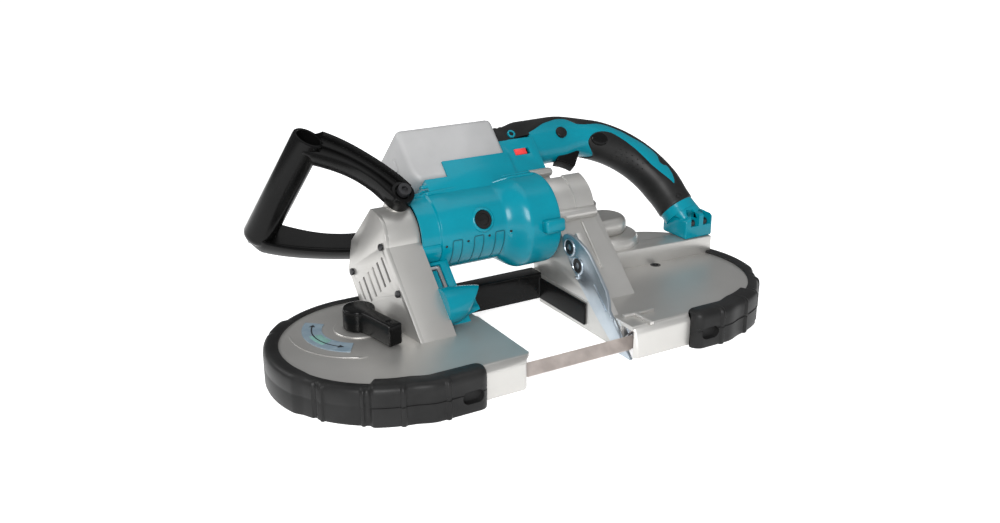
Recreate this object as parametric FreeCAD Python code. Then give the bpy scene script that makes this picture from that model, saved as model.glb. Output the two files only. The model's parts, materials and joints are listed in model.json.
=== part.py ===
import FreeCAD, Part
import math
import os
from FreeCAD import Placement, Rotation, Vector

# Portable band saw, in millimetres, lying on its two wheel housings.
# X runs along the blade from the idler wheel to the drive wheel, -Y is the front, Z = 0 is the floor.
# The upper tool is drawn upright, with the blade line as its origin, and then leaned back by cut_tilt.

# Blade and wheels
blade_length = 1140.0
blade_width = 13.0
blade_thickness = 0.65
blade_height = 14.5
blade_front = -122.85
cut_tilt = 45.0
twist_start = 14.0
wheel_radius = 82.0
wheel_width = 14.0
wheel_rim = 6.0
wheel_web = 5.0
tyre_thickness = 3.0
hub_radius = 21.0
axle_radius = 8.0
axle_flange_radius = 15.0
axle_flange_thickness = 2.5
axle_washer_radius = 12.0
axle_washer_thickness = 3.0
bearing_wall = 5.0

# Clearances
running_gap = 0.3
shaft_fit = 0.05
slide_fit = 0.25
gear_gap = 1.0

# Wheel housings
housing_setback = 9.4
housing_outset = 6.8
rim_space = 18.5
housing_wall = 4.0
deck_thickness = 4.5
deck_space = 8.0
skirt_gap = 2.0
front_room = 13.0
slot_room = 11.0
throat_left = -60.0
idler_corner = 10.0
drive_corner = 4.0
notch_width = 20.0
notch_start = 92.0
rear_wall_height = 16.0
rear_wall_left = 12.0
rear_wall_left_y = 50.0
rear_wall_right_y = 28.0

# Rear beam and the guard on its drive end
beam_width = 20.0
beam_bottom = 7.0
beam_top = 37.0
beam_wall = 3.0
guard_thickness = 2.5
guard_setback = 70.0
guard_top = 31.0

# Bumpers
bumper_thickness = 11.0
bumper_lip = 3.0
bumper_lip_height = 2.0
bumper_rear_reach = 22.0
block_length = 76.0
block_bulge = 12.0
block_height = 39.0
block_round = 6.0
idler_block_gap = 53.0
drive_block_gap = 67.0
oval_width = 17.0
oval_height = 10.0
oval_inset = 17.0
oval_depth = 9.0

# Tension lever, its cam and the slide that carries the idler wheel
lever_x_offset = -16.8
lever_y_offset = 42.4
lever_hub_radius = 15.0
lever_height = 21.0
lever_length = 58.0
lever_arm_width = 14.0
lever_heading = -78.0
lever_lift = 1.2
lever_shaft_radius = 6.0
lever_range = 150.0
tension_travel = 5.0
cam_least = 9.0
cam_points = 48
cam_gap = 0.4
follower_width = 6.0
slide_length = 72.0
slide_margin = 9.0
keeper_reach = 3.0
keeper_thickness = 1.5
rail_width = 5.0
spacer_radius = 12.0
rib_height = 8.0
rib_width = 6.0
rib_gap = 14.0
legend_inner = 36.0
legend_outer = 55.0
legend_start = 138.0
legend_sweep = 100.0
legend_thickness = 0.6

# Motor, drawn about its own axis in the upright saw
motor_y = 56.0
motor_z = 181.0
barrel_radius = 40.0
barrel_left = -100.0
bulge_step = 8.0
bulge_forward = 5.0
bulge_start = -6.0
bulge_full = 16.0
gear_face = 50.0
motor_wall = 3.5
web_x = -56.0
web_thickness = 8.0
stator_left = -5.0
stator_length = 46.0
stator_thickness = 9.5
core_gap = 1.0
motor_shaft_radius = 5.0
motor_bearing_radius = 11.0
commutator_x = -31.6
commutator_radius = 15.0
commutator_length = 18.0
brush_drop = 22.0
brush_side = 7.0
cap_radius = 9.5
cap_proud = 0.8
cap_depth = 6.0
fan_clear = 3.5
fan_thickness = 5.0
fan_disc = 1.5
fan_blades = 9
fan_blade_thickness = 1.6
fan_gap = 1.5

# Motor bracket and vent cover
bracket_arc = 34.0
bracket_step = 8.0
bracket_apex = 43.0
bracket_shoulder = (24.0, 16.0)
bracket_back = (46.0, -5.0)
bracket_wall = 4.0
air_radius = 25.0
cover_x = -136.0
cover_turn = 11.0
cover_thickness = 3.5
vent_slots = 6
vent_width = 3.2
vent_pitch = 10.0
vent_top = 25.0
vent_length = 27.0
vent_margin = 12.0
cover_screw_radius = 3.5
cover_screw_head = 2.0
cover_screw_shank = 1.5
cover_screw_inset = 6.0
cover_screw_drop = 17.0

# Front handle
handle_bolt_rise = 22.0
handle_boss_radius = 11.0
handle_arm_thickness = 18.0
handle_arm_root = 15.0
handle_arm_waist = 12.5
upper_arm_bow = 9.0
lower_arm_bow = -7.0
grip_recess_radius = 12.5
grip_recess_depth = 20.0
front_grip_radius = 16.0
grip_top_x = -187.0
grip_top_rise = 93.0
grip_low_x = -226.0
grip_low_rise = 55.0
bolt_head_radius = 6.5
bolt_head_height = 6.0
bolt_shank_radius = 4.0
bolt_shank_length = 30.0
bolt_hex = 6.0
bolt_hex_depth = 3.5

# Lamp bracket, lamp and hex key
lamp_bracket_width = 28.0
lamp_bracket_front = 46.0
lamp_bracket_thickness = 18.0
cowl_root_radius = 20.0
cowl_tip_radius = 12.0
cowl_length = 42.0
cowl_y = 38.0
cowl_z = 93.0
lens_radius = 9.0
lens_thickness = 2.5
lens_inset = 1.5
board_thickness = 1.6
led_side = 5.0
led_height = 2.0
lamp_pocket = 12.0
key_across = 5.0
key_long = 52.0
key_short = 14.0
key_x = -84.0
key_gap = 0.3

# Battery, its base and the switch box
battery_length = 113.0
battery_width = 75.0
battery_height = 63.0
battery_right = 29.0
battery_round = 8.0
battery_gap = 0.5
battery_lift = 2.0
battery_centre = 8.0
base_left = -74.0
base_skirt = 26.0
side_wall = 2.0
side_wall_height = 18.0
side_wall_left = -48.0
rail_foot_width = 4.0
rail_head_width = 8.0
rail_foot_height = 3.0
rail_head_height = 3.0
rail_inset = 14.0
rail_gap = 0.5
terminal_width = 24.0
terminal_length = 26.0
terminal_height = 7.0
release_width = 26.0
release_height = 14.0
release_depth = 8.0
release_proud = 1.5
release_drop = 20.0
release_travel = 3.0
box_right = 76.0
box_depth = 50.0
box_rise = 63.0
box_wall = 3.5
slider_width = 14.0
slider_height = 7.0
slider_travel = 4.0
slider_proud = 1.0
slider_x = 54.0
slider_rise = 23.0
slider_flange = 2.0

# Gear housing, dome and gears
case_drop = 2.0
case_length = 53.0
case_wall = 4.0
case_flat = 21.0
case_bar_radius = 6.5
case_bar_turn = 39.0
bearing_boss = 16.0
front_bearing_length = 8.0
rail_wall = 7.0
rail_wall_front = 4.0
rail_wall_back = 96.0
rail_wall_rise = 125.0
rail_wall_top = 150.0
rail_wall_slope = 11.0
rail_wall_drop = 23.5
leg_front = 30.0
leg_depth = 16.0
leg_width = 55.0
countershaft_x = 92.0
tower_radius = 33.5
gear_wall = 4.0
dome_radius = 38.0
dome_height = 32.0
dome_cap_radius = 24.0
dome_cap_height = 18.0
dome_wall = 3.5
gear_shaft_radius = 6.0
gear_bearing_radius = 12.0
gear_bearing_length = 8.0
bevel_in_teeth = 10
bevel_out_teeth = 26
bevel_module = 2.0
bevel_face = 9.0
bevel_limit = 28.0
bevel_hub_radius = 18.0
bevel_hub_height = 8.0
first_in_teeth = 24
first_out_teeth = 30
first_module = 2.0
first_width = 8.0
first_lift = 19.0
last_in_teeth = 14
last_out_teeth = 72
backlash = 0.5
addendum = 0.8
dedendum = 1.2
pressure_angle = 20.0

# Stopper plate
stopper_gap = 0.4
stopper_thickness = 4.0
stopper_length = 140.0
stopper_edge = 1.3
stopper_tip_width = 15.7
stopper_width = 23.7
stopper_corner = 7.9
stopper_bolt_clear = 1.5
stopper_bolt_inset = 12.0
stopper_bolt_pitch = 22.0
stopper_bolt_head = 8.0
stopper_bolt_y = 19.0
stopper_reach = 19.0
stopper_nut_radius = 7.0
stopper_nut_height = 5.0

# Blade guides
guide_length = 14.0
guide_inset = 4.0
guide_width = 20.0
guide_clear = 1.5
guide_height = 34.0
roller_radius = 3.5
roller_low = -4.0
roller_end_gap = 0.4
pin_radius = 1.8
pin_head_radius = 3.0
pin_head_height = 1.2

# Rear handle
handle_y = 62.0
handle_radius = 20.0
handle_wall = 3.0
handle_start_rise = 46.0
handle_climb = 1.0
handle_straight = 48.0
handle_bend = 110.0
handle_turn = 80.0
handle_end_z = 146.9
sleeve_thickness = 1.5
sleeve_start = 80.0
sleeve_run = 20.0
foot_length = 42.0
foot_depth = 36.0
foot_height = 30.0
foot_screw_radius = 4.5
foot_screw_depth = 12.0
foot_screw_height = 6.0
foot_socket_depth = 3.0
foot_screw_spread = 18.0
trigger_start = 36.0
trigger_length = 24.0
trigger_width = 13.0
trigger_drop = 19.0
trigger_travel = 6.0
trigger_flange = 2.0
trigger_gap = 0.4
switch_length = 30.0
switch_width = 18.0
switch_height = 13.0
button_start = 41.5
button_drop = 2.5
button_radius = 6.5
button_length = 9.0
button_proud = 2.5
button_gap = 0.3

# Deck screw
deck_screw_x = 26.0
deck_screw_y = 35.0
deck_screw_radius = 6.0
deck_screw_head = 3.0

# What follows from the driving sizes
OVER = 1.0
FAR = 1000.0
X_AXIS = Vector(1, 0, 0)
Y_AXIS = Vector(0, 1, 0)
Z_AXIS = Vector(0, 0, 1)
path_radius = wheel_radius + running_gap + blade_thickness / 2
wheel_x = (blade_length - 2 * math.pi * path_radius) / 4
wheel_y = blade_front + path_radius
rear_run_y = wheel_y + path_radius
wheel_bottom = blade_height - wheel_width / 2
wheel_top = blade_height + wheel_width / 2
deck_under = wheel_top + deck_space
deck_top = deck_under + deck_thickness
housing_x = wheel_x + housing_outset
housing_y = wheel_y + housing_setback
housing_radius = wheel_radius + rim_space
front_y = blade_front - front_room
block_back = rear_run_y + beam_width / 2 + housing_wall
notch_x = throat_left - notch_width
stopper_left = gear_face + stopper_gap
stopper_right = stopper_left + stopper_thickness
throat_right = stopper_right + stopper_gap
UPRIGHT = Placement(Vector(0, blade_front, blade_height), Rotation(X_AXIS, -cut_tilt))


def at_rest(x, y, z):
    """A point of the upright saw, in the frame of the saw at rest."""
    return UPRIGHT.multVec(Vector(x, y, z))


def lean(shape):
    """Leans a shape from the upright saw to the saw at rest."""
    leaned = shape.copy()
    leaned.Placement = UPRIGHT.multiply(leaned.Placement)
    return leaned


def box(x0, x1, y0, y1, z0, z1):
    return Part.makeBox(x1 - x0, y1 - y0, z1 - z0, Vector(x0, y0, z0))


def rod(start, axis, length, radius):
    return Part.makeCylinder(radius, length, Vector(*start), axis)


def ring(start, axis, length, outer, inner):
    return rod(start, axis, length, outer).cut(rod(start, axis, length, inner))


def link(start, end, radius):
    """A round bar between two points."""
    run = Vector(*end) - Vector(*start)
    return Part.makeCylinder(radius, run.Length, Vector(*start), run)


def ball(centre, radius):
    return Part.makeSphere(radius, Vector(*centre))


def outline_face(points):
    corners = [Vector(*point) for point in points]
    return Part.Face(Part.makePolygon(corners + corners[:1]))


def prism(points, travel):
    """A flat outline pushed along a vector."""
    return outline_face(points).extrude(travel)


def fuse(*shapes):
    return shapes[0].multiFuse(list(shapes[1:])).removeSplitter()


def group(shapes):
    """Separate solids that share one node."""
    return Part.makeCompound([solid for shape in shapes for solid in shape.Solids])


def below_deck():
    return box(-FAR, FAR, -FAR, FAR, -FAR, deck_top)


def hexagon(centre, axis, across):
    """The corners of a hexagon square to an axis."""
    turn = Rotation(Z_AXIS, axis)
    corners = []
    for step in range(6):
        angle = math.radians(60 * step)
        corner = Vector(math.cos(angle), math.sin(angle), 0) * (across / math.sqrt(3))
        corners.append(Vector(*centre) + turn.multVec(corner))
    return corners


def socket_bolt(seat, axis, head_radius, shank_length):
    """A socket bolt whose head sits on the seat and whose shank goes along the axis."""
    head = rod(seat, axis.negative(), bolt_head_height, head_radius)
    shank = rod(seat, axis, shank_length, bolt_shank_radius)
    top = Vector(*seat) - axis * bolt_head_height
    socket = prism(hexagon(top, axis, bolt_hex), axis * bolt_hex_depth)
    return fuse(head, shank).cut(socket)


# Wheel housings
def rounded_plan(outline, centre_x):
    """A housing seen from above: a block joined to a disc."""
    disc = Part.Face(Part.Wire(Part.makeCircle(housing_radius, Vector(centre_x, housing_y, 0))))
    return outline_face(outline).fuse(disc).removeSplitter().Faces[0]


def idler_plan():
    notch_y = blade_front + notch_start
    return rounded_plan([
        (-housing_x, front_y, 0),
        (throat_left - idler_corner, front_y, 0),
        (throat_left, front_y + idler_corner, 0),
        (throat_left, notch_y, 0),
        (notch_x, notch_y + notch_width, 0),
        (notch_x, block_back, 0),
        (-housing_x, block_back, 0),
    ], -housing_x)


def drive_plan():
    return rounded_plan([
        (throat_right + drive_corner, front_y, 0),
        (housing_x, front_y, 0),
        (housing_x, block_back, 0),
        (throat_right, block_back, 0),
        (throat_right, front_y + drive_corner, 0),
    ], housing_x)


def housing_solid(plan):
    """The whole outside of a housing, from under its skirt to the top of its deck."""
    solid = plan.extrude(Vector(0, 0, deck_top - skirt_gap))
    solid.translate(Vector(0, 0, skirt_gap))
    return solid


def open_casting(plan):
    """A deck with a skirt under its edge, open below."""
    inner = plan.makeOffset2D(-housing_wall).extrude(Vector(0, 0, deck_under))
    return housing_solid(plan).cut(inner)


def blade_slots(x0, x1, rear_x0, rear_x1):
    """Openings in an end wall for the front and rear runs of the blade."""
    front = box(x0, x1, front_y + housing_wall, blade_front + slot_room, -OVER, deck_under)
    half = beam_width / 2 - beam_wall
    rear = box(rear_x0, rear_x1, rear_run_y - half, rear_run_y + half, -OVER, deck_under)
    return [front, rear]


lever_x = -wheel_x + lever_x_offset
lever_y = wheel_y + lever_y_offset
cam_most = cam_least + tension_travel
keeper_low = wheel_top + running_gap
slide_low = keeper_low + keeper_thickness + slide_fit
slide_high = deck_under - slide_fit
slide_front = wheel_y - spacer_radius - slide_margin
slide_back = lever_y + cam_most + slide_margin
slide_left = -wheel_x - slide_length / 2
slide_right = -wheel_x + slide_length / 2


def slide_rails():
    """Two cast rails with keepers that hold the tension slide under the deck."""
    rails = []
    for edge, side in ((slide_front, -1), (slide_back, 1)):
        outside = edge + side * (slide_fit + rail_width)
        inside = edge + side * slide_fit
        lip = edge - side * keeper_reach
        y0, y1 = sorted((outside, inside))
        rails.append(box(slide_left, slide_right, y0, y1, keeper_low, deck_under))
        y0, y1 = sorted((outside, lip))
        rails.append(box(slide_left, slide_right, y0, y1, keeper_low, keeper_low + keeper_thickness))
    return rails


def idler_housing():
    casting = open_casting(idler_plan())
    rib_y = lever_y - lever_hub_radius - rib_width
    rib = box(lever_x + lever_hub_radius + rib_gap, barrel_left, rib_y, rib_y + rib_width,
              deck_top, deck_top + rib_height)
    rib = rib.cut(lean(bracket_outside()))
    casting = fuse(casting, rib, *slide_rails())
    reach = idler_corner + housing_wall + OVER
    holes = blade_slots(throat_left - reach, throat_left + OVER,
                        notch_x - housing_wall - OVER, notch_x + OVER)
    shaft = rod((lever_x, lever_y, deck_under - OVER), Z_AXIS, FAR, lever_shaft_radius + shaft_fit)
    return casting.cut(holes + [shaft])


def deck_screw_seat():
    place = Vector(wheel_x + deck_screw_x, wheel_y + deck_screw_y, deck_top - deck_screw_head)
    return Part.makeCone(deck_screw_radius / 2, deck_screw_radius, deck_screw_head, place, Z_AXIS)


def deck_screw():
    place = Vector(wheel_x + deck_screw_x, wheel_y + deck_screw_y, deck_top)
    socket = prism(hexagon(place, Z_AXIS.negative(), deck_screw_radius), Vector(0, 0, -deck_screw_head / 2))
    return deck_screw_seat().cut(socket)


def rear_wall():
    """The raised rear part of the drive housing's deck, which carries the handle's foot."""
    left = intermediate_x - rear_wall_left
    right = housing_x + housing_radius
    wall = prism([
        (left, housing_y + rear_wall_left_y, deck_top),
        (right, housing_y + rear_wall_right_y, deck_top),
        (right, housing_y + housing_radius, deck_top),
        (left, housing_y + housing_radius, deck_top),
    ], Vector(0, 0, rear_wall_height))
    wall = wall.common(rod((housing_x, housing_y, deck_top), Z_AXIS, rear_wall_height, housing_radius))
    return wall.cut([gear_outside(), dome_outside()])


def drive_housing():
    casting = fuse(open_casting(drive_plan()), rear_wall())
    reach = drive_corner + housing_wall + OVER
    holes = blade_slots(throat_right - OVER, throat_right + reach, throat_right - OVER, throat_right + reach)
    shaft = rod((intermediate_x, motor_axis.y, deck_under - OVER), Z_AXIS, FAR, gear_shaft_radius + shaft_fit)
    return casting.cut(holes + [shaft, deck_screw_seat()])


# Rear beam, which covers the rear run of the blade
def rear_beam():
    half = beam_width / 2
    outer = box(notch_x, throat_right, rear_run_y - half, rear_run_y + half, beam_bottom, beam_top)
    inner = box(notch_x - OVER, throat_right + OVER, rear_run_y - half + beam_wall,
                rear_run_y + half - beam_wall, -OVER, beam_top - beam_wall)
    guard = box(throat_right - guard_thickness, throat_right, blade_front + guard_setback, rear_run_y - half,
                beam_bottom, guard_top)
    return fuse(outer.cut(inner), guard)


# Rubber bumpers
def bumper(plan, centre_x, side, block_gap, throat, neighbours):
    """A rubber rim round the outer end of a housing, with a bulging block at its front."""
    top = deck_top + bumper_lip_height
    rim = ring((centre_x, housing_y, 0), Z_AXIS, top, housing_radius + bumper_thickness,
               housing_radius - bumper_lip)
    near = centre_x - side * bumper_rear_reach
    far = centre_x + side * FAR
    rim = rim.common(box(min(near, far), max(near, far), -FAR, FAR, -OVER, FAR))
    start = throat + side * block_gap
    end = start + side * block_length
    x0, x1 = sorted((start, end))
    block = box(x0, x1, front_y - block_bulge, front_y + bumper_lip, 0, block_height)
    rounded = [edge for edge in block.Edges if edge.BoundBox.YMax < front_y + bumper_lip / 2]
    block = block.makeFillet(block_round, rounded)
    rim_x0, rim_x1 = sorted((start, centre_x))
    rim_front = box(rim_x0, rim_x1, -FAR, housing_y, -OVER, FAR)
    return fuse(rim.cut(rim_front), block).cut([housing_solid(plan), oval(start, side)] + neighbours)


def oval(start, side):
    """The oval hole in the front of a bumper block."""
    middle = start + side * oval_inset
    z = blade_height
    reach = (oval_width - oval_height) / 2
    y0 = front_y - block_bulge - OVER
    y1 = front_y - block_bulge + oval_depth
    radius = oval_height / 2
    ends = [rod((middle + shift, y0, z), Y_AXIS, y1 - y0, radius) for shift in (-reach, reach)]
    return fuse(box(middle - reach, middle + reach, y0, y1, z - radius, z + radius), *ends)


# Wheels, tyres, axles and bearings
def wheel(centre_x, hub_top):
    rim_outer = wheel_radius - tyre_thickness
    base = (centre_x, wheel_y, wheel_bottom)
    rim = ring(base, Z_AXIS, wheel_width, rim_outer, rim_outer - wheel_rim)
    web = rod((centre_x, wheel_y, wheel_bottom + wheel_web / 2), Z_AXIS, wheel_web, rim_outer - wheel_rim)
    hub = rod(base, Z_AXIS, hub_top - wheel_bottom, hub_radius)
    bore = rod((centre_x, wheel_y, -FAR), Z_AXIS, 2 * FAR, axle_radius + bearing_wall + shaft_fit)
    return fuse(rim, web, hub).cut(bore)


def tyre(centre_x):
    return ring((centre_x, wheel_y, wheel_bottom), Z_AXIS, wheel_width, wheel_radius,
                wheel_radius - tyre_thickness)


def axle(centre_x, top):
    """A fixed axle with a washer that carries the wheel's hub."""
    low = wheel_bottom - running_gap - axle_washer_thickness
    pin = rod((centre_x, wheel_y, low), Z_AXIS, top - low, axle_radius)
    washer = rod((centre_x, wheel_y, low), Z_AXIS, axle_washer_thickness, axle_washer_radius + bearing_wall)
    return fuse(pin, washer)


def wheel_bearing(centre_x):
    outer = axle_radius + bearing_wall
    return ring((centre_x, wheel_y, wheel_bottom), Z_AXIS, wheel_width, outer, axle_radius)


def drive_axle():
    flange = rod((wheel_x, wheel_y, deck_under - axle_flange_thickness), Z_AXIS, axle_flange_thickness,
                 axle_flange_radius)
    return fuse(axle(wheel_x, deck_under), flange)


# Tension slide and lever
def cam_outline(z):
    """A spiral that falls by the tension travel while the lever turns through its range."""
    corners = []
    for step in range(cam_points):
        turn = 360.0 * step / cam_points
        if turn <= lever_range:
            radius = cam_most - tension_travel * turn / lever_range
        else:
            radius = cam_least + tension_travel * (turn - lever_range) / (360.0 - lever_range)
        angle = math.radians(180.0 + turn)
        corners.append((lever_x + radius * math.cos(angle), lever_y + radius * math.sin(angle), z))
    return corners


def tension_slide():
    plate = box(slide_left, slide_right, slide_front, slide_back, slide_low, slide_high)
    reach = cam_most + tension_travel + OVER
    window = box(lever_x - cam_most - tension_travel, lever_x + reach, lever_y - cam_most - OVER,
                 lever_y + cam_most + OVER, -FAR, FAR)
    face = lever_x - cam_most - cam_gap
    half = follower_width / 2
    follower = box(face - tension_travel - OVER, face, lever_y - half, lever_y + half, slide_low, slide_high)
    spacer = rod((-wheel_x, wheel_y, wheel_top + running_gap), Z_AXIS, slide_high - wheel_top - running_gap,
                 spacer_radius)
    return fuse(plate.cut(window), follower, spacer, axle(-wheel_x, slide_high))


def tension_lever():
    low = deck_top + lever_lift
    hub = rod((lever_x, lever_y, low), Z_AXIS, lever_height, lever_hub_radius)
    half = lever_arm_width / 2
    arm = box(0, lever_length, -half, half, 0, lever_height)
    arm.Placement = Placement(Vector(lever_x, lever_y, low), Rotation(Z_AXIS, lever_heading))
    shaft = rod((lever_x, lever_y, slide_low), Z_AXIS, low + OVER - slide_low, lever_shaft_radius)
    cam = prism(cam_outline(slide_low), Vector(0, 0, slide_high - slide_low))
    return fuse(hub, arm, shaft, cam)


def legend_plate():
    sector = Part.makeCylinder(legend_outer, legend_thickness, Vector(lever_x, lever_y, deck_top), Z_AXIS,
                               legend_sweep)
    sector.rotate(Vector(lever_x, lever_y, 0), Z_AXIS, legend_start)
    return sector.cut(rod((lever_x, lever_y, deck_top), Z_AXIS, legend_thickness, legend_inner))


# Blade
def section(x, turn):
    """The blade's cross-section at x, turned about the blade line."""
    half_thick = blade_thickness / 2
    half_wide = blade_width / 2
    place = Placement(Vector(x, blade_front, blade_height), Rotation(X_AXIS, -turn))
    signs = ((-1, -1), (1, -1), (1, 1), (-1, 1))
    points = [place.multVec(Vector(0, y * half_thick, z * half_wide)) for y, z in signs]
    return Part.makePolygon(points + points[:1])


guide_left = throat_left - guide_inset - guide_length
guide_right = throat_right + guide_inset + guide_length


def saw_blade():
    low = blade_height - blade_width / 2
    inner = path_radius - blade_thickness / 2
    outer = path_radius + blade_thickness / 2
    pieces = []
    for side in (-1, 1):
        centre_x = side * wheel_x
        loop = ring((centre_x, wheel_y, low), Z_AXIS, blade_width, outer, inner)
        x0, x1 = sorted((centre_x, side * FAR))
        pieces.append(loop.common(box(x0, x1, -FAR, FAR, -FAR, FAR)))
        twist = centre_x - side * twist_start
        x0, x1 = sorted((centre_x, twist))
        pieces.append(box(x0, x1, blade_front - blade_thickness / 2, blade_front + blade_thickness / 2,
                          low, low + blade_width))
        guide = guide_left if side < 0 else guide_right
        pieces.append(Part.makeLoft([section(twist, 0), section(guide, cut_tilt)], True, True))
    pieces.append(box(-wheel_x, wheel_x, rear_run_y - blade_thickness / 2, rear_run_y + blade_thickness / 2,
                      low, low + blade_width))
    pieces.append(Part.makeLoft([section(guide_left, cut_tilt), section(guide_right, cut_tilt)], True, True))
    return fuse(*pieces)


# Blade guides
roller_y = blade_thickness / 2 + running_gap + roller_radius
roller_high = blade_width / 2 + guide_clear


def guide(x0):
    """A steel block under the deck with two pins for the rollers on either side of the blade."""
    block = box(x0, x0 + guide_length, -guide_width / 2, guide_width / 2, roller_high, guide_height)
    pins = []
    for side in (-1, 1):
        place = (x0 + guide_length / 2, side * roller_y, roller_low - roller_end_gap)
        pins.append(rod(place, Z_AXIS, roller_high - roller_low + roller_end_gap, pin_radius))
        pins.append(rod(place, Z_AXIS.negative(), pin_head_height, pin_head_radius))
    room = box(-FAR, FAR, front_y + housing_wall, FAR, -FAR, deck_under)
    return lean(fuse(block, *pins)).common(room)


def roller(x0, side):
    place = (x0 + guide_length / 2, side * roller_y, roller_low)
    return lean(ring(place, Z_AXIS, roller_high - roller_end_gap - roller_low, roller_radius,
                     pin_radius + shaft_fit))


# Stopper plate, which slides on the gear housing's rail wall, just below the motor's swelling
bulge_radius = barrel_radius + bulge_step
bulge_centre = (motor_y - bulge_forward, motor_z - bulge_step)
bolt_reach = bulge_radius + stopper_bolt_head + stopper_bolt_clear
bolt_high_z = bulge_centre[1] - math.sqrt(bolt_reach ** 2 - (bulge_centre[0] - stopper_bolt_y) ** 2)
bolt_low_z = bolt_high_z - stopper_bolt_pitch
stopper_top = bolt_high_z + stopper_bolt_inset
stopper_tip = stopper_top - stopper_length


def stopper_plate():
    back = stopper_edge + stopper_width
    narrow = stopper_edge + stopper_tip_width
    plate = prism([
        (stopper_left, stopper_edge, stopper_tip),
        (stopper_left, narrow, stopper_tip),
        (stopper_left, back, stopper_tip + stopper_width),
        (stopper_left, back, stopper_top - stopper_corner),
        (stopper_left, back - stopper_corner, stopper_top),
        (stopper_left, stopper_edge + stopper_corner, stopper_top),
        (stopper_left, stopper_edge, stopper_top - stopper_corner),
    ], X_AXIS * stopper_thickness)
    holes = [rod((stopper_left - OVER, stopper_bolt_y, z), X_AXIS, FAR, bolt_shank_radius)
             for z in (bolt_low_z, bolt_high_z)]
    return lean(plate.cut(holes))


def stopper_bolts():
    bolts = []
    nut_x = throat_right + rail_wall + running_gap
    for z in (bolt_low_z, bolt_high_z):
        seat = (stopper_left, stopper_bolt_y, z)
        bolt = socket_bolt(seat, X_AXIS, stopper_bolt_head, nut_x + stopper_nut_height - stopper_left)
        nut = prism(hexagon((nut_x, stopper_bolt_y, z), X_AXIS, 2 * stopper_nut_radius),
                    X_AXIS * stopper_nut_height)
        bolts.append(lean(fuse(bolt, nut)))
    return group(bolts)


def stopper_slot():
    """The slot in the rail wall along which the stopper's bolts travel."""
    radius = bolt_shank_radius + running_gap
    low = bolt_low_z - stopper_reach
    ends = [rod((gear_face, stopper_bolt_y, z), X_AXIS, FAR, radius) for z in (low, bolt_high_z)]
    middle = box(gear_face, FAR, stopper_bolt_y - radius, stopper_bolt_y + radius, low, bolt_high_z)
    return fuse(middle, *ends).common(box(gear_face, throat_right + rail_wall, -FAR, FAR, -FAR, FAR))


# Motor
motor_axis = at_rest(0, motor_y, motor_z)
inner_radius = barrel_radius - motor_wall
fan_radius = inner_radius - fan_clear


def along_motor(x, length, radius):
    return rod((x, motor_y, motor_z), X_AXIS, length, radius)


def along_motor_ring(x, length, outer, inner):
    return along_motor(x, length, outer).cut(along_motor(x, length, inner))


def motor_pieces():
    """The barrel and the swelling at its gear end."""
    barrel = along_motor(barrel_left, gear_face - barrel_left, barrel_radius)
    root = barrel_radius - math.hypot(bulge_forward, bulge_step)
    start = Vector(bulge_start, *bulge_centre)
    slope = Part.makeCone(root, bulge_radius, bulge_full - bulge_start, start, X_AXIS)
    swelling = rod((bulge_full, *bulge_centre), X_AXIS, gear_face - bulge_full, bulge_radius)
    return [barrel, slope, swelling]


def brush_frame(side):
    """The direction of a brush, from the motor's axis outwards."""
    angle = math.radians(brush_drop)
    return Vector(0, -side * math.cos(angle), -side * math.sin(angle))


def brush_cap(side):
    out = brush_frame(side)
    start = Vector(commutator_x, motor_y, motor_z) + out * (barrel_radius + cap_proud - cap_depth)
    return rod(start, out, cap_depth, cap_radius)


def brush_access():
    """The way by which the rear brush cap comes out past the battery's base."""
    out = brush_frame(-1)
    return rod(Vector(commutator_x, motor_y, motor_z), out, 2 * barrel_radius, cap_radius + running_gap)


def motor_housing():
    body = fuse(*motor_pieces())
    hollow = along_motor(barrel_left - OVER, gear_face - barrel_left + 2 * OVER, inner_radius)
    web = along_motor_ring(web_x, web_thickness, inner_radius, motor_bearing_radius)
    return lean(fuse(body.cut(hollow), web).cut([brush_cap(1), brush_cap(-1)]))


def brush_caps():
    return group([lean(brush_cap(side)) for side in (1, -1)])


def brushes():
    """Two carbon brushes between the commutator and the caps."""
    blocks = []
    for side in (1, -1):
        start = commutator_radius + running_gap
        length = barrel_radius + cap_proud - cap_depth - start
        block = box(-brush_side / 2, brush_side / 2, -brush_side / 2, brush_side / 2, 0, length)
        out = brush_frame(side)
        place = Vector(commutator_x, motor_y, motor_z) + out * start
        block.Placement = Placement(place, Rotation(Z_AXIS, out))
        blocks.append(lean(block))
    return group(blocks)


def stator():
    return lean(along_motor_ring(stator_left, stator_length, inner_radius, inner_radius - stator_thickness))


def armature_core():
    radius = inner_radius - stator_thickness - core_gap
    return lean(along_motor_ring(stator_left, stator_length, radius, motor_shaft_radius))


def commutator():
    return lean(along_motor_ring(commutator_x - commutator_length / 2, commutator_length,
                                 commutator_radius, motor_shaft_radius))


def cooling_fan():
    start = stator_left + stator_length + fan_gap
    hub = along_motor(start, fan_thickness, motor_bearing_radius)
    disc = along_motor(start, fan_disc, fan_radius)
    blades = []
    for step in range(fan_blades):
        blade = box(start, start + fan_thickness, -fan_blade_thickness / 2, fan_blade_thickness / 2,
                    motor_shaft_radius + fan_blade_thickness, fan_radius)
        blade.Placement = Placement(Vector(0, motor_y, motor_z), Rotation(X_AXIS, 360.0 * step / fan_blades))
        blades.append(blade)
    bore = along_motor(start - OVER, fan_thickness + 2 * OVER, motor_shaft_radius)
    return lean(fuse(hub, disc, *blades).cut(bore))


def motor_bearings():
    inner = motor_shaft_radius + shaft_fit
    rear = along_motor_ring(web_x, web_thickness, motor_bearing_radius, inner)
    front = along_motor_ring(gear_face, front_bearing_length, motor_bearing_radius, inner)
    return group([lean(rear), lean(front)])


# Gears
def involute(angle):
    return math.tan(angle) - angle


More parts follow.
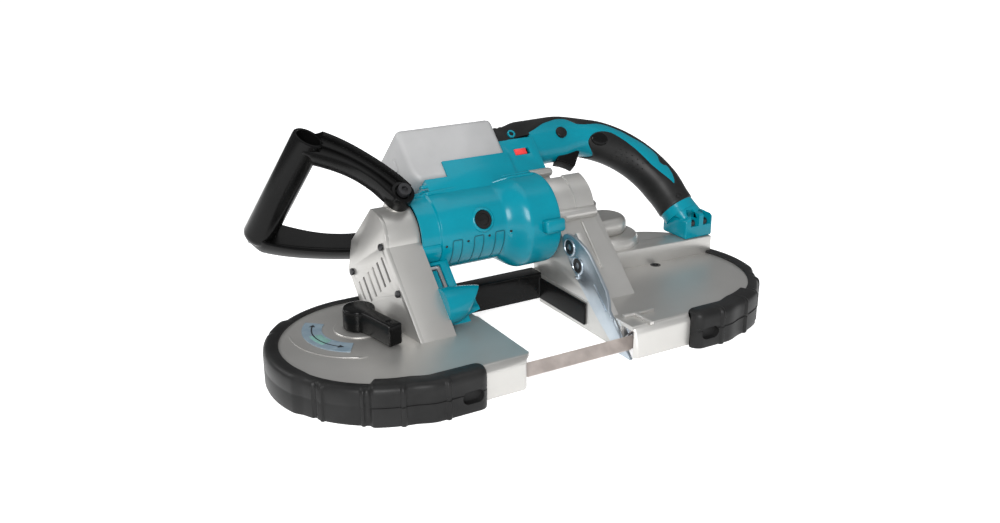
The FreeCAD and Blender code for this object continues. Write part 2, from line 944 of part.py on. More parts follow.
def tooth_outline(teeth, radius, module, first, tip, root):
    """The corners of a gear in its own plane, with a tooth centred on the angle first."""
    base = radius * math.cos(math.radians(pressure_angle))
    half = math.pi / (2 * teeth) - backlash / (2 * radius)
    reach = half + involute(math.radians(pressure_angle))
    flank = []
    for at in (root, max(base, root + module / 10), radius, tip):
        spread = involute(math.acos(base / at)) if at > base else 0.0
        flank.append((at, reach - spread))
    corners = []
    for step in range(teeth):
        middle = first + 2 * math.pi * step / teeth
        for at, spread in flank:
            corners.append((at * math.cos(middle - spread), at * math.sin(middle - spread)))
        for at, spread in reversed(flank):
            corners.append((at * math.cos(middle + spread), at * math.sin(middle + spread)))
    return corners


def spur_gear(centre_x, centre_y, low, width, teeth, module, first):
    radius = teeth * module / 2
    tip = radius + addendum * module
    root = radius - dedendum * module
    corners = tooth_outline(teeth, radius, module, first, tip, root)
    return prism([(centre_x + x, centre_y + y, low) for x, y in corners], Vector(0, 0, width))


def bevel_outline(teeth, radius, depth, cone, scale, first):
    """The corners of a straight bevel gear at its large end, scaled towards the cone's tip."""
    pitch = math.atan2(radius, depth)
    tip = depth * math.tan(pitch + math.atan(addendum * bevel_module / cone))
    root = depth * math.tan(pitch - math.atan(dedendum * bevel_module / cone))
    slope = math.tan(math.radians(pressure_angle)) * bevel_module / radius
    half = math.pi / (2 * teeth) - backlash / (2 * radius)
    corners = []
    for step in range(teeth):
        middle = first + 2 * math.pi * step / teeth
        for at, spread in ((root, -half - dedendum * slope), (tip, -half + addendum * slope),
                           (tip, half - addendum * slope), (root, half + dedendum * slope)):
            corners.append((scale * at * math.cos(middle + spread), scale * at * math.sin(middle + spread)))
    return corners


bevel_in_radius = bevel_module * bevel_in_teeth / 2
bevel_out_radius = bevel_module * bevel_out_teeth / 2
bevel_cone = math.hypot(bevel_in_radius, bevel_out_radius)
bevel_small = 1 - bevel_face / bevel_cone
first_centre = first_module * (first_in_teeth + first_out_teeth) / 2
intermediate_x = countershaft_x + first_centre
first_low = deck_top + first_lift
last_centre = math.hypot(intermediate_x - wheel_x, motor_axis.y - wheel_y)
last_module = 2 * last_centre / (last_in_teeth + last_out_teeth)
last_heading = math.atan2(motor_axis.y - wheel_y, intermediate_x - wheel_x)
last_low = wheel_top + gear_gap
last_width = deck_space - 2 * gear_gap


def closed_loop(points):
    return Part.makePolygon(points + points[:1])


def armature_shaft():
    """The motor's shaft, with its bevel pinion cut on the gear end."""
    first = -math.pi / 2 + math.pi / bevel_in_teeth
    loops = []
    for scale in (1.0, bevel_small):
        corners = bevel_outline(bevel_in_teeth, bevel_in_radius, bevel_out_radius, bevel_cone, scale, first)
        x = countershaft_x - bevel_out_radius * scale
        loops.append(closed_loop([Vector(x, motor_axis.y + y, motor_axis.z + z) for y, z in corners]))
    pinion = Part.makeLoft(loops, True, True)
    start = web_x - web_thickness / 2
    shaft = rod((start, motor_axis.y, motor_axis.z), X_AXIS, countershaft_x - bevel_out_radius - start,
                motor_shaft_radius)
    return fuse(shaft, pinion)


def bevel_gear():
    loops = []
    for scale in (1.0, bevel_small):
        corners = bevel_outline(bevel_out_teeth, bevel_out_radius, bevel_in_radius, bevel_cone, scale,
                                math.pi)
        z = motor_axis.z - bevel_in_radius * scale
        loops.append(closed_loop([Vector(countershaft_x + x, motor_axis.y + y, z) for x, y in corners]))
    low = motor_axis.z - bevel_in_radius
    place = (countershaft_x, motor_axis.y, low)
    crown = Part.makeLoft(loops, True, True).common(rod(place, Z_AXIS, bevel_in_radius, bevel_limit))
    hub = rod(place, Z_AXIS.negative(), bevel_hub_height, bevel_hub_radius)
    bore = rod((countershaft_x, motor_axis.y, -FAR), Z_AXIS, 2 * FAR, gear_shaft_radius)
    return fuse(crown, hub).cut(bore)


countershaft_top = motor_axis.z - bevel_in_radius * bevel_small
shaft_floor = deck_top + gear_wall + running_gap


def countershaft():
    shaft = rod((countershaft_x, motor_axis.y, shaft_floor), Z_AXIS, countershaft_top - shaft_floor,
                gear_shaft_radius)
    pinion = spur_gear(countershaft_x, motor_axis.y, first_low, first_width, first_in_teeth, first_module,
                       0.0)
    return fuse(shaft, pinion)


def intermediate_gear():
    first = math.pi + math.pi / first_out_teeth
    gear = spur_gear(intermediate_x, motor_axis.y, first_low, first_width, first_out_teeth, first_module,
                     first)
    return gear.cut(rod((intermediate_x, motor_axis.y, -FAR), Z_AXIS, 2 * FAR, gear_shaft_radius))


def intermediate_shaft():
    top = deck_top + dome_height + dome_cap_height - dome_wall - running_gap
    shaft = rod((intermediate_x, motor_axis.y, last_low), Z_AXIS, top - last_low, gear_shaft_radius)
    first = last_heading + math.pi
    pinion = spur_gear(intermediate_x, motor_axis.y, last_low, last_width, last_in_teeth, last_module, first)
    return fuse(shaft, pinion)


def bull_gear():
    first = last_heading + math.pi / last_out_teeth
    gear = spur_gear(wheel_x, wheel_y, last_low, last_width, last_out_teeth, last_module, first)
    return gear.cut(rod((wheel_x, wheel_y, -FAR), Z_AXIS, 2 * FAR, axle_flange_radius + gear_gap))


def gear_bearings():
    inner = gear_shaft_radius + shaft_fit
    low = ring((countershaft_x, motor_axis.y, deck_top + gear_wall), Z_AXIS, gear_bearing_length,
               gear_bearing_radius, inner)
    top = deck_top + dome_height + dome_cap_height - dome_wall - gear_bearing_length
    high = ring((intermediate_x, motor_axis.y, top), Z_AXIS, gear_bearing_length, gear_bearing_radius, inner)
    return group([low, high])


# Gear housing and dome
case_radius = barrel_radius - case_drop
case_bar_y = motor_y - case_radius * math.cos(math.radians(case_bar_turn))
case_bar_z = motor_z - case_radius * math.sin(math.radians(case_bar_turn))


def gear_case(inset):
    """The round case with its flat top, or with an inset its hollow."""
    round_case = along_motor(gear_face + inset, case_length - 2 * inset, case_radius - inset)
    return round_case.cut(box(-FAR, FAR, -FAR, FAR, motor_z + case_flat - inset, FAR))


def gear_outside():
    """The gear case with its bar and saddle, the tower, the slanted leg and the stopper's wall."""
    case = gear_case(0)
    bar = rod((gear_face, case_bar_y, case_bar_z), X_AXIS, case_length, case_bar_radius)
    saddle = box(gear_face, box_right, box_front, box_back, motor_z, saddle_top)
    leg = box(throat_right, throat_right + leg_width, leg_front, leg_front + leg_depth, 0, case_bar_z)
    wall = prism([
        (throat_right, rail_wall_front, 0),
        (throat_right, rail_wall_front, rail_wall_rise),
        (throat_right, rail_wall_front + rail_wall_slope, rail_wall_top),
        (throat_right, motor_y, motor_z),
        (throat_right, rail_wall_back, motor_z - rail_wall_drop),
        (throat_right, rail_wall_back, 0),
    ], X_AXIS * rail_wall)
    tower_top = motor_axis.z + gear_wall
    tower = rod((countershaft_x, motor_axis.y, deck_top), Z_AXIS, tower_top - deck_top, tower_radius)
    upper = fuse(lean(fuse(case, bar, saddle)), lean(leg), lean(wall), tower)
    return upper.cut(below_deck())


def first_gear_room(centre_x, radius):
    """The round space that one gear of the first pair turns in."""
    place = (centre_x, motor_axis.y, first_low - gear_gap)
    return rod(place, Z_AXIS, first_width + 2 * gear_gap, radius)


def gear_hollow():
    case = lean(gear_case(case_wall))
    boss = lean(along_motor(gear_face, front_bearing_length, bearing_boss))
    tower = rod((countershaft_x, motor_axis.y, deck_top + gear_wall), Z_AXIS,
                motor_axis.z - deck_top - gear_wall, tower_radius - gear_wall)
    tip = first_module * (first_out_teeth / 2 + addendum) + gear_gap
    window = first_gear_room(intermediate_x, tip)
    bore = lean(along_motor(gear_face - OVER, front_bearing_length + 2 * OVER, motor_bearing_radius))
    return fuse(fuse(case, tower).cut(boss), window, bore)


def gear_housing():
    return gear_outside().cut([gear_hollow(), lean(stopper_slot())])


def dome_outside():
    place = (intermediate_x, motor_axis.y, deck_top)
    return fuse(rod(place, Z_AXIS, dome_height, dome_radius),
                rod(place, Z_AXIS, dome_height + dome_cap_height, dome_cap_radius))


def gear_dome():
    place = (intermediate_x, motor_axis.y, deck_top)
    inner = fuse(rod(place, Z_AXIS, dome_height - dome_wall, dome_radius - dome_wall),
                 rod(place, Z_AXIS, dome_height + dome_cap_height - dome_wall, gear_bearing_radius))
    tip = first_module * (first_in_teeth / 2 + addendum) + gear_gap
    window = first_gear_room(countershaft_x, tip)
    return dome_outside().cut([inner, window, gear_outside()])


# Motor bracket and vent cover
def bracket_face(inset):
    """The bracket's outline across the saw, moved inwards by inset."""
    arc = bracket_arc
    front = motor_y - arc + bracket_step
    low = motor_z - math.sqrt(arc ** 2 - (arc - bracket_step) ** 2)
    apex = math.radians(bracket_apex)
    start = Vector(0, front, 0)
    foot = Vector(0, front, low)
    middle = Vector(0, motor_y - arc, motor_z)
    top = Vector(0, motor_y - arc * math.cos(apex), motor_z + arc * math.sin(apex))
    shoulder = Vector(0, motor_y + bracket_shoulder[0], motor_z + bracket_shoulder[1])
    back = Vector(0, motor_y + bracket_back[0], motor_z + bracket_back[1])
    end = Vector(0, motor_y + bracket_back[0], 0)
    edges = [Part.makeLine(start, foot), Part.Arc(foot, middle, top).toShape(), Part.makeLine(top, shoulder),
             Part.makeLine(shoulder, back), Part.makeLine(back, end), Part.makeLine(end, start)]
    face = Part.Face(Part.Wire(edges))
    return face.makeOffset2D(-inset) if inset else face


def cover_plane(shift):
    """The space on the left of the vent cover's plane, moved along its normal by shift."""
    turned = box(-FAR, shift, -FAR, FAR, -FAR, FAR)
    turned.rotate(Vector(0, 0, 0), Z_AXIS, cover_turn)
    turned.translate(Vector(cover_x, motor_y - bracket_arc, 0))
    return lean(turned)


def along_saw(face, x0, x1):
    moved = face.copy()
    moved.translate(Vector(x0, 0, 0))
    return moved.extrude(Vector(x1 - x0, 0, 0))


def bracket_outside():
    """The bracket and its cover, before the cover's plane is cut, in the upright saw."""
    return along_saw(bracket_face(0), 2 * cover_x, barrel_left)


handle_bolt_x = barrel_left - handle_boss_radius - running_gap
handle_bolt_z = motor_z + handle_bolt_rise
boss_front = motor_y - bracket_arc
boss_back = motor_y + bracket_back[0]


def bolt_boss():
    return rod((handle_bolt_x, boss_front, handle_bolt_z), Y_AXIS, boss_back - boss_front, handle_boss_radius)


def motor_bracket():
    body = lean(bracket_outside()).cut([cover_plane(cover_thickness), below_deck()])
    hollow = along_saw(bracket_face(bracket_wall), 2 * cover_x, barrel_left - bracket_wall)
    air = along_motor(barrel_left - 2 * bracket_wall, 3 * bracket_wall, air_radius)
    body = body.cut([lean(hollow), lean(air)])
    bore = rod((handle_bolt_x, boss_front - OVER, handle_bolt_z), Y_AXIS, FAR, bolt_shank_radius)
    return fuse(body, lean(bolt_boss())).cut(lean(bore))


def cover_screw_places():
    front = motor_y - bracket_arc + bracket_step + cover_screw_inset
    back = motor_y + bracket_back[0] - cover_screw_inset
    return [(front, motor_z - cover_screw_drop), (back, motor_z + bracket_back[1] - cover_screw_inset),
            (front, motor_z - 2 * bracket_arc)]


def vent_cover():
    plate = lean(bracket_outside()).common(cover_plane(cover_thickness))
    plate = plate.cut([cover_plane(0), below_deck()])
    front = motor_y - bracket_arc + bracket_step
    slots = []
    for step in range(vent_slots):
        y = front + vent_margin + vent_pitch * step
        top = motor_z - vent_top
        slots.append(lean(box(2 * cover_x, barrel_left, y - vent_width / 2, y + vent_width / 2,
                              top - vent_length, top)))
    holes = [lean(rod((2 * cover_x, y, z), X_AXIS, FAR, cover_screw_shank)) for y, z in cover_screw_places()]
    above = box(-FAR, FAR, -FAR, FAR, deck_top + vent_margin, FAR)
    return plate.cut([slot.common(above) for slot in slots] + holes)


def cover_screws():
    screws = []
    for y, z in cover_screw_places():
        place = (2 * cover_x, y, z)
        head = lean(rod(place, X_AXIS, FAR, cover_screw_radius)).common(cover_plane(0))
        shank = lean(rod(place, X_AXIS, FAR, cover_screw_shank)).common(cover_plane(cover_thickness))
        screws.append(fuse(head, shank).cut(cover_plane(-cover_screw_head)))
    return group(screws)


# Front handle
upper_arm_y = boss_front - handle_arm_thickness / 2
lower_arm_y = boss_back + handle_arm_thickness / 2


def handle_arm(end, bow):
    """A flat arm from an end of the grip to its bolt, bowed by a height at its middle."""
    start = Vector(end[0], end[1] - handle_arm_thickness / 2, end[2])
    run = Vector(handle_bolt_x, start.y, handle_bolt_z) - start
    across = Vector(-run.z, 0, run.x).normalize()
    edges = []
    for side in (1, -1):
        points = [start + across * (side * handle_arm_root),
                  start + run / 2 + across * (bow + side * handle_arm_waist),
                  start + run + across * (side * handle_boss_radius)]
        curve = Part.BSplineCurve()
        curve.interpolate(points)
        edges.append((curve.toShape(), points[0], points[-1]))
    (upper, upper_start, upper_end), (lower, lower_start, lower_end) = edges
    outline = [upper, Part.makeLine(upper_end, lower_end), lower, Part.makeLine(lower_start, upper_start)]
    return Part.Face(Part.Wire(outline)).extrude(Y_AXIS * handle_arm_thickness)


def front_handle():
    top = Vector(grip_top_x, upper_arm_y, motor_z + grip_top_rise)
    low = Vector(grip_low_x, lower_arm_y, motor_z + grip_low_rise)
    outward = (top - low).normalize()
    rim = top + outward * (handle_arm_thickness / 2)
    pieces = [link(low, rim, front_grip_radius), ball(low, front_grip_radius)]
    for end, bow in ((top, upper_arm_bow), (low, lower_arm_bow)):
        pieces.append(handle_arm(end, bow))
        eye = (handle_bolt_x, end.y - handle_arm_thickness / 2, handle_bolt_z)
        pieces.append(rod(eye, Y_AXIS, handle_arm_thickness, handle_boss_radius))
    recess = rod(rim, outward.negative(), grip_recess_depth, grip_recess_radius)
    bore = rod((handle_bolt_x, -FAR, handle_bolt_z), Y_AXIS, 2 * FAR, bolt_shank_radius)
    return lean(fuse(*pieces).cut([recess, bore]))


def front_handle_bolts():
    upper = (handle_bolt_x, upper_arm_y - handle_arm_thickness / 2, handle_bolt_z)
    lower = (handle_bolt_x, lower_arm_y + handle_arm_thickness / 2, handle_bolt_z)
    return group([lean(socket_bolt(upper, Y_AXIS, bolt_head_radius, bolt_shank_length)),
                  lean(socket_bolt(lower, Y_AXIS.negative(), bolt_head_radius, bolt_shank_length))])


# Lamp bracket, lamp and hex key
cowl_tip = barrel_left + cowl_length
key_y = lamp_bracket_front + key_across / 2
key_top_z = motor_z - barrel_radius - key_across


def key_legs(across, extra):
    """The two legs of the hex key, with extra length at each end."""
    long_leg = box(key_x - across / 2, key_x + across / 2, key_y - across / 2, key_y + across / 2,
                   key_top_z - key_long - extra, key_top_z + across / 2)
    short_leg = box(key_x - key_short - extra, key_x, key_y - across / 2, key_y + across / 2,
                    key_top_z - across / 2, key_top_z + across / 2)
    return [long_leg, short_leg]


def hex_key():
    low = Vector(key_x, key_y, key_top_z - key_long)
    long_leg = prism(hexagon(low, Z_AXIS, key_across), Vector(0, 0, key_long))
    left = Vector(key_x - key_short, key_y, key_top_z)
    short_leg = prism(hexagon(left, X_AXIS, key_across), Vector(key_short, 0, 0))
    return lean(fuse(long_leg, short_leg, ball((key_x, key_y, key_top_z), key_across / math.sqrt(3))))


def lamp_bracket():
    right = barrel_left + lamp_bracket_width
    back = lamp_bracket_front + lamp_bracket_thickness
    plate = box(barrel_left, right, lamp_bracket_front, back, 0, motor_z)
    root = Vector(barrel_left, cowl_y, cowl_z)
    cowl = Part.makeCone(cowl_root_radius, cowl_tip_radius, cowl_length, root, X_AXIS)
    body = fuse(plate, cowl)
    pocket = rod((cowl_tip - lamp_pocket, cowl_y, cowl_z), X_AXIS, lamp_pocket + OVER, lens_radius)
    wide = key_across * 2 / math.sqrt(3) + 2 * key_gap
    groove = []
    for leg in key_legs(wide, key_gap):
        room = leg.BoundBox
        groove.append(box(room.XMin, room.XMax, lamp_bracket_front - FAR, room.YMax, room.ZMin, room.ZMax))
    body = body.cut([along_motor(2 * barrel_left, FAR, barrel_radius), pocket] + groove)
    return lean(body).cut(below_deck())


def lamp_lens():
    place = (cowl_tip - lens_inset - lens_thickness, cowl_y, cowl_z)
    return lean(rod(place, X_AXIS, lens_thickness, lens_radius))


def lamp_board():
    x = cowl_tip - lamp_pocket
    board = rod((x, cowl_y, cowl_z), X_AXIS, board_thickness, lens_radius)
    half = led_side / 2
    led = box(x, x + board_thickness + led_height, cowl_y - half, cowl_y + half, cowl_z - half, cowl_z + half)
    return lean(fuse(board, led))


# Battery and its base
battery_left = battery_right - battery_length
battery_low = motor_z + barrel_radius + battery_lift
battery_y = motor_y + battery_centre
battery_front = battery_y - battery_width / 2
battery_back = battery_y + battery_width / 2
base_top = battery_low - battery_gap
box_left = battery_right + battery_gap
box_front = handle_y - box_depth / 2
box_back = handle_y + box_depth / 2
box_top = base_top + box_rise
saddle_top = base_top - box_wall


def slide_rail(y, x0, x1, gap):
    """One rail of the battery base, or with a gap its groove in the battery."""
    foot = rail_foot_width / 2 + gap
    head = rail_head_width / 2 + gap
    top = base_top + rail_foot_height
    return fuse(box(x0, x1, y - foot, y + foot, base_top - OVER, top + OVER),
                box(x0, x1, y - head, y + head, top - gap, top + rail_head_height + gap))


def rail_places():
    return [battery_front + rail_inset, battery_back - rail_inset]


def terminal_room(gap, x1):
    half = terminal_width / 2 + gap
    return box(battery_right - terminal_length - gap, x1, battery_y - half, battery_y + half, base_top,
               base_top + terminal_height + gap)


def slider_window(x0, x1, grow):
    z = base_top + slider_rise
    half = slider_height / 2 + grow
    return box(x0 - grow, x1 + grow, box_front - OVER, box_front + box_wall + OVER, z - half, z + half)


def battery_base():
    front = battery_front - side_wall - battery_gap
    back = battery_back + side_wall + battery_gap
    slab = box(base_left, box_left, front, back, base_top - base_skirt, base_top)
    pieces = [slab]
    for y0 in (front, battery_back + battery_gap):
        pieces.append(box(side_wall_left, box_left, y0, y0 + side_wall, base_top - base_skirt,
                          base_top + side_wall_height))
    shell_box = box(box_left, box_right, box_front, box_back, base_top - base_skirt, box_top)
    room = box(box_left + box_wall, box_right - box_wall, box_front + box_wall, box_back - box_wall,
               base_top, box_top - box_wall)
    pieces.append(shell_box.cut(room))
    over_case = box(gear_face, FAR, -FAR, FAR, -FAR, saddle_top)
    body = fuse(*pieces).cut([over_case, brush_access()] + motor_pieces())
    rails = [slide_rail(y, base_left, battery_right, 0.0) for y in rail_places()]
    half = slider_width / 2
    window = slider_window(slider_x - half, slider_x + half + slider_travel, running_gap)
    return lean(fuse(body, *rails).cut(window))


def terminal_block():
    return lean(terminal_room(0.0, battery_right))


def release_room(gap, travel):
    top = battery_low + battery_height - release_drop
    half = release_width / 2 + gap
    low = top - release_height - gap - travel
    return box(battery_left - release_proud, battery_left + release_depth + gap, battery_y - half,
               battery_y + half, low, top + gap)


def battery_pack():
    top = battery_low + battery_height
    case = box(battery_left, battery_right, battery_front, battery_back, battery_low, top)
    case = case.makeFillet(battery_round, [edge for edge in case.Edges
                                           if edge.BoundBox.ZMin > battery_low + battery_round])
    grooves = [slide_rail(y, -FAR, FAR, rail_gap) for y in rail_places()]
    return lean(case.cut(grooves + [terminal_room(rail_gap, FAR), release_room(slide_fit, release_travel)]))


def battery_release():
    return lean(release_room(0.0, 0.0))


def lamp_switch():
    z = base_top + slider_rise
    half = slider_height / 2
    inside = box_front + box_wall + slide_fit
    knob = box(slider_x - slider_width / 2, slider_x + slider_width / 2, box_front - slider_proud,
               inside + slider_flange, z - half, z + half)
    flange = box(slider_x - slider_width / 2 - slider_flange, slider_x + slider_width / 2 + slider_flange,
                 inside, inside + slider_flange, z - half - slider_flange, z + half + slider_flange)
    return lean(fuse(knob, flange))


# Rear handle
handle_start = Vector(box_right, handle_y, motor_z + barrel_radius + handle_start_rise)
climb = math.atan2(handle_climb, handle_straight)
handle_knee = handle_start + Vector(handle_straight, 0, handle_climb)
bend_centre = handle_knee + Vector(math.sin(climb), 0, -math.cos(climb)) * handle_bend
turn = math.radians(handle_turn)
handle_hip = bend_centre + Vector(math.sin(turn), 0, math.cos(turn)) * handle_bend
run_heading = Vector(math.cos(turn), 0, -math.sin(turn))
handle_run = (handle_hip.z - handle_end_z) / math.sin(turn)
handle_end = handle_hip + run_heading * handle_run
straight_heading = Vector(math.cos(climb), 0, math.sin(climb))


def bend(radius):
    circle = Part.makeCircle(radius, handle_knee, straight_heading)
    face = Part.Face(Part.Wire(circle))
    return face.revolve(bend_centre, Y_AXIS, math.degrees(climb) + handle_turn)


def handle_tube(radius):
    straight = Part.makeCylinder(radius, (handle_knee - handle_start).Length, handle_start, straight_heading)
    run = Part.makeCylinder(radius, handle_run, handle_hip, run_heading)
    return fuse(straight, bend(radius), run)


foot_place = at_rest(handle_end.x, handle_end.y, handle_end.z)
foot_low = deck_top + rear_wall_height


def foot_block():
    return box(foot_place.x - foot_length / 2, foot_place.x + foot_length / 2, foot_place.y - foot_depth / 2,
               foot_place.y + foot_depth / 2, foot_low, foot_low + foot_height)


def foot_screw_holes():
    holes = []
    for side in (-1, 1):
        x = foot_place.x + side * foot_screw_spread / 2
        y = foot_place.y - foot_depth / 2 + 2 * foot_screw_radius
        holes.append(rod((x, y, foot_low + foot_height - foot_screw_depth), Z_AXIS, foot_screw_depth,
                         foot_screw_radius))
    return holes


def handle_foot():
    return foot_block().cut(foot_screw_holes() + [lean(handle_tube(handle_radius)), handle_grip()])


def foot_screws():
    screws = []
    for hole in foot_screw_holes():
        room = hole.BoundBox
        centre = Vector(room.Center.x, room.Center.y, room.ZMin + foot_screw_height)
        head = rod((centre.x, centre.y, room.ZMin), Z_AXIS, foot_screw_height, foot_screw_radius)
        screws.append(head.cut(prism(hexagon(centre, Z_AXIS.negative(), foot_screw_radius),
                                     Vector(0, 0, -foot_socket_depth))))
    return group(screws)


trigger_x = box_right + trigger_start
trigger_floor = handle_knee.z - handle_radius + handle_wall
switch_floor = trigger_floor + 2 * trigger_flange + trigger_travel + 2 * running_gap


def trigger_slot():
    half = trigger_width / 2 + trigger_gap
    return box(trigger_x - trigger_gap, trigger_x + trigger_length + trigger_gap, handle_y - half,
               handle_y + half, handle_start.z - 2 * handle_radius, handle_start.z)


def trigger():
    half = trigger_width / 2
    low = handle_start.z - handle_radius - trigger_drop + handle_wall
    body = box(trigger_x, trigger_x + trigger_length, handle_y - half, handle_y + half, low,
               trigger_floor + 2 * trigger_flange)
    flange = box(trigger_x - trigger_flange, trigger_x + trigger_length + trigger_flange, handle_y - half,
                 handle_y + half, trigger_floor + trigger_flange, trigger_floor + 2 * trigger_flange)
    return lean(fuse(body, flange))


def switch_unit():
    half = switch_width / 2
    inner = handle_radius - handle_wall
    past_bend = trigger_x + switch_length - bend_centre.x
    axis_z = bend_centre.z + math.sqrt(handle_bend ** 2 - past_bend ** 2)
    top = axis_z + math.sqrt(inner ** 2 - half ** 2) - running_gap
    low = max(switch_floor, top - switch_height)
    return lean(box(trigger_x - trigger_flange, trigger_x + switch_length, handle_y - half, handle_y + half,
                    low, top))


def button_rod(grow):
    y = handle_y - handle_radius - button_proud
    place = (box_right + button_start, y, handle_start.z - button_drop)
    return rod(place, Y_AXIS, button_length, button_radius + grow)


def handle_shell(side):
    """One half of the hollow handle, split along the saw."""
    tube = handle_tube(handle_radius).cut(handle_tube(handle_radius - handle_wall))
    y0, y1 = sorted((handle_y, handle_y + side * FAR))
    half = box(box_right, FAR, y0, y1, -FAR, FAR)
    return lean(tube.common(half).cut([trigger_slot(), button_rod(button_gap)]))


def handle_grip():
    """The soft sleeve round the bend of the handle."""
    sleeve = fuse(bend(handle_radius + sleeve_thickness),
                  Part.makeCylinder(handle_radius + sleeve_thickness, sleeve_run, handle_hip, run_heading))
    before = box(-FAR, box_right + sleeve_start, -FAR, FAR, -FAR, FAR)
    return lean(sleeve.cut([handle_tube(handle_radius), before]))


def build():
    nodes = {
        "idler_housing": idler_housing(),
        "drive_housing": drive_housing(),
        "rear_beam": rear_beam(),
        "idler_bumper": bumper(idler_plan(), -housing_x, -1, idler_block_gap, throat_left, []),
        "drive_bumper": bumper(drive_plan(), housing_x, 1, drive_block_gap, throat_right,
                               [rear_wall(), dome_outside()]),
        "drive_axle": drive_axle(),
        "drive_wheel": wheel(wheel_x, last_low),
        "drive_tyre": tyre(wheel_x),
        "bull_gear": bull_gear(),
        "tension_slide": tension_slide(),
        "idler_bearing": wheel_bearing(-wheel_x),
        "idler_wheel": wheel(-wheel_x, wheel_top),
        "idler_tyre": tyre(-wheel_x),
        "tension_lever": tension_lever(),
        "legend_plate": legend_plate(),
        "saw_blade": saw_blade(),
        "stopper_plate": stopper_plate(),
        "stopper_bolts": stopper_bolts(),
        "motor_housing": motor_housing(),
        "brush_caps": brush_caps(),
        "brushes": brushes(),
        "stator": stator(),
        "armature_core": armature_core(),
        "commutator": commutator(),
        "cooling_fan": cooling_fan(),
        "armature_shaft": armature_shaft(),
        "bevel_gear": bevel_gear(),
        "countershaft": countershaft(),
        "intermediate_gear": intermediate_gear(),
        "intermediate_shaft": intermediate_shaft(),
        "bearings": group([motor_bearings(), gear_bearings(), wheel_bearing(wheel_x)]),
        "gear_housing": gear_housing(),
        "gear_dome": gear_dome(),
        "motor_bracket": motor_bracket(),
        "vent_cover": vent_cover(),
        "case_screws": group([cover_screws(), foot_screws(), deck_screw()]),
        "front_handle": front_handle(),
        "front_handle_bolts": front_handle_bolts(),
        "lamp_bracket": lamp_bracket(),
        "lamp_lens": lamp_lens(),
        "lamp_board": lamp_board(),
        "hex_key": hex_key(),
        "battery_base": battery_base(),
        "terminal_block": terminal_block(),
        "battery_pack": battery_pack(),
        "battery_release": battery_release(),
        "lamp_switch": lamp_switch(),
        "handle_shell_front": handle_shell(-1),
        "handle_shell_rear": handle_shell(1),
        "handle_grip": handle_grip(),
        "handle_foot": handle_foot(),
        "trigger": trigger(),
        "switch_unit": switch_unit(),
        "lock_button": lean(button_rod(0.0)),
    }
    for end, x0 in (("idler", guide_left), ("drive", throat_right + guide_inset)):
        nodes[end + "_guide"] = guide(x0)
        for place, side in (("front", -1), ("rear", 1)):
            nodes[end + "_" + place + "_roller"] = roller(x0, side)
    return nodes


os.makedirs("parts", exist_ok=True)
for name, shape in build().items():
    print(name, shape.ShapeType, len(shape.Solids), shape.isValid(), round(shape.Volume))
    shape.exportStep("parts/" + name + ".step")
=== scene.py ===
import json
import math
import bmesh
import bpy
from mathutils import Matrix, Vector

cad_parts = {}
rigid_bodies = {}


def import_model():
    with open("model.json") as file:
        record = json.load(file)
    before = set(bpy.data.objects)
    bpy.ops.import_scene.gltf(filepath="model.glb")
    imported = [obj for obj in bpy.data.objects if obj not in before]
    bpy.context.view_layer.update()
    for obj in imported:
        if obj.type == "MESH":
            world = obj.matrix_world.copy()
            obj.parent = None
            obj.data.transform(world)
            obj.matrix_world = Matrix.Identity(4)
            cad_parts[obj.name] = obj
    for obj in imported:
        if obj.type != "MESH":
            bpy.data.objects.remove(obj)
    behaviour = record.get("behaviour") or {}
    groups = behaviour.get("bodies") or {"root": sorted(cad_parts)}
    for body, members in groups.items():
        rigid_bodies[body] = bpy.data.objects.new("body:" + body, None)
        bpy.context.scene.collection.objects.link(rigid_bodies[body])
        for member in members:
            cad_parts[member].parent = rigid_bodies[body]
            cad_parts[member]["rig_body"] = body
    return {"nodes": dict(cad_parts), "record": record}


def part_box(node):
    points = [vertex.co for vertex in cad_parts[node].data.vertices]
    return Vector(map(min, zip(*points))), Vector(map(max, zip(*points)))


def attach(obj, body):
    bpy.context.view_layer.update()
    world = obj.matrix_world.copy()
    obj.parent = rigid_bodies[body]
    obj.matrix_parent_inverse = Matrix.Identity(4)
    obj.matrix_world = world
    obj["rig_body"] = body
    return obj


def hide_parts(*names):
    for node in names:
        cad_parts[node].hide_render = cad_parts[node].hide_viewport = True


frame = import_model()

# Studio: a white paper floor under a wide, soft light that is stronger from the front than from behind.
# The camera stands in front of the idler end, a little above the saw, and looks down along the blade.
MM = 0.001
scene = bpy.context.scene
nodes = frame["nodes"]
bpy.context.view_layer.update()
camera_place = Vector((-524.4, -862.45, 444.0)) * MM
camera_look = Vector((0.4757, 0.8082, -0.3473))
saw_middle = Vector((0, 0, 0.1))
front_strength, rear_strength = 0.50, 0.17
floor_reach = 40.0
paper_glow = 0.72


def add(name, data):
    """A new object at the origin."""
    made = bpy.data.objects.new(name, data)
    scene.collection.objects.link(made)
    return made


def shader(name):
    """A new material, with its tree and its Principled shader."""
    made = bpy.data.materials.new(name)
    made.use_nodes = True
    return made, made.node_tree, made.node_tree.nodes["Principled BSDF"]


def wire(tree, *links):
    """Links outputs to inputs in a tree of nodes."""
    for output, target in links:
        tree.links.new(output, target)


def lamp(name, place, size, watts):
    """A square lamp that faces the middle of the saw."""
    data = bpy.data.lights.new(name, "AREA")
    data.size = size
    data.energy = watts
    made = add(name, data)
    made.location = place
    made.rotation_euler = (saw_middle - Vector(place)).to_track_quat("-Z", "Y").to_euler()


camera_data = bpy.data.cameras.new("photo_camera")
camera_data.lens = 37.8
camera_data.sensor_width = 36.0
camera = add("photo_camera", camera_data)
camera.location = camera_place
camera.rotation_euler = camera_look.to_track_quat("-Z", "Y").to_euler()
scene.camera = camera
scene.view_settings.view_transform = "Standard"

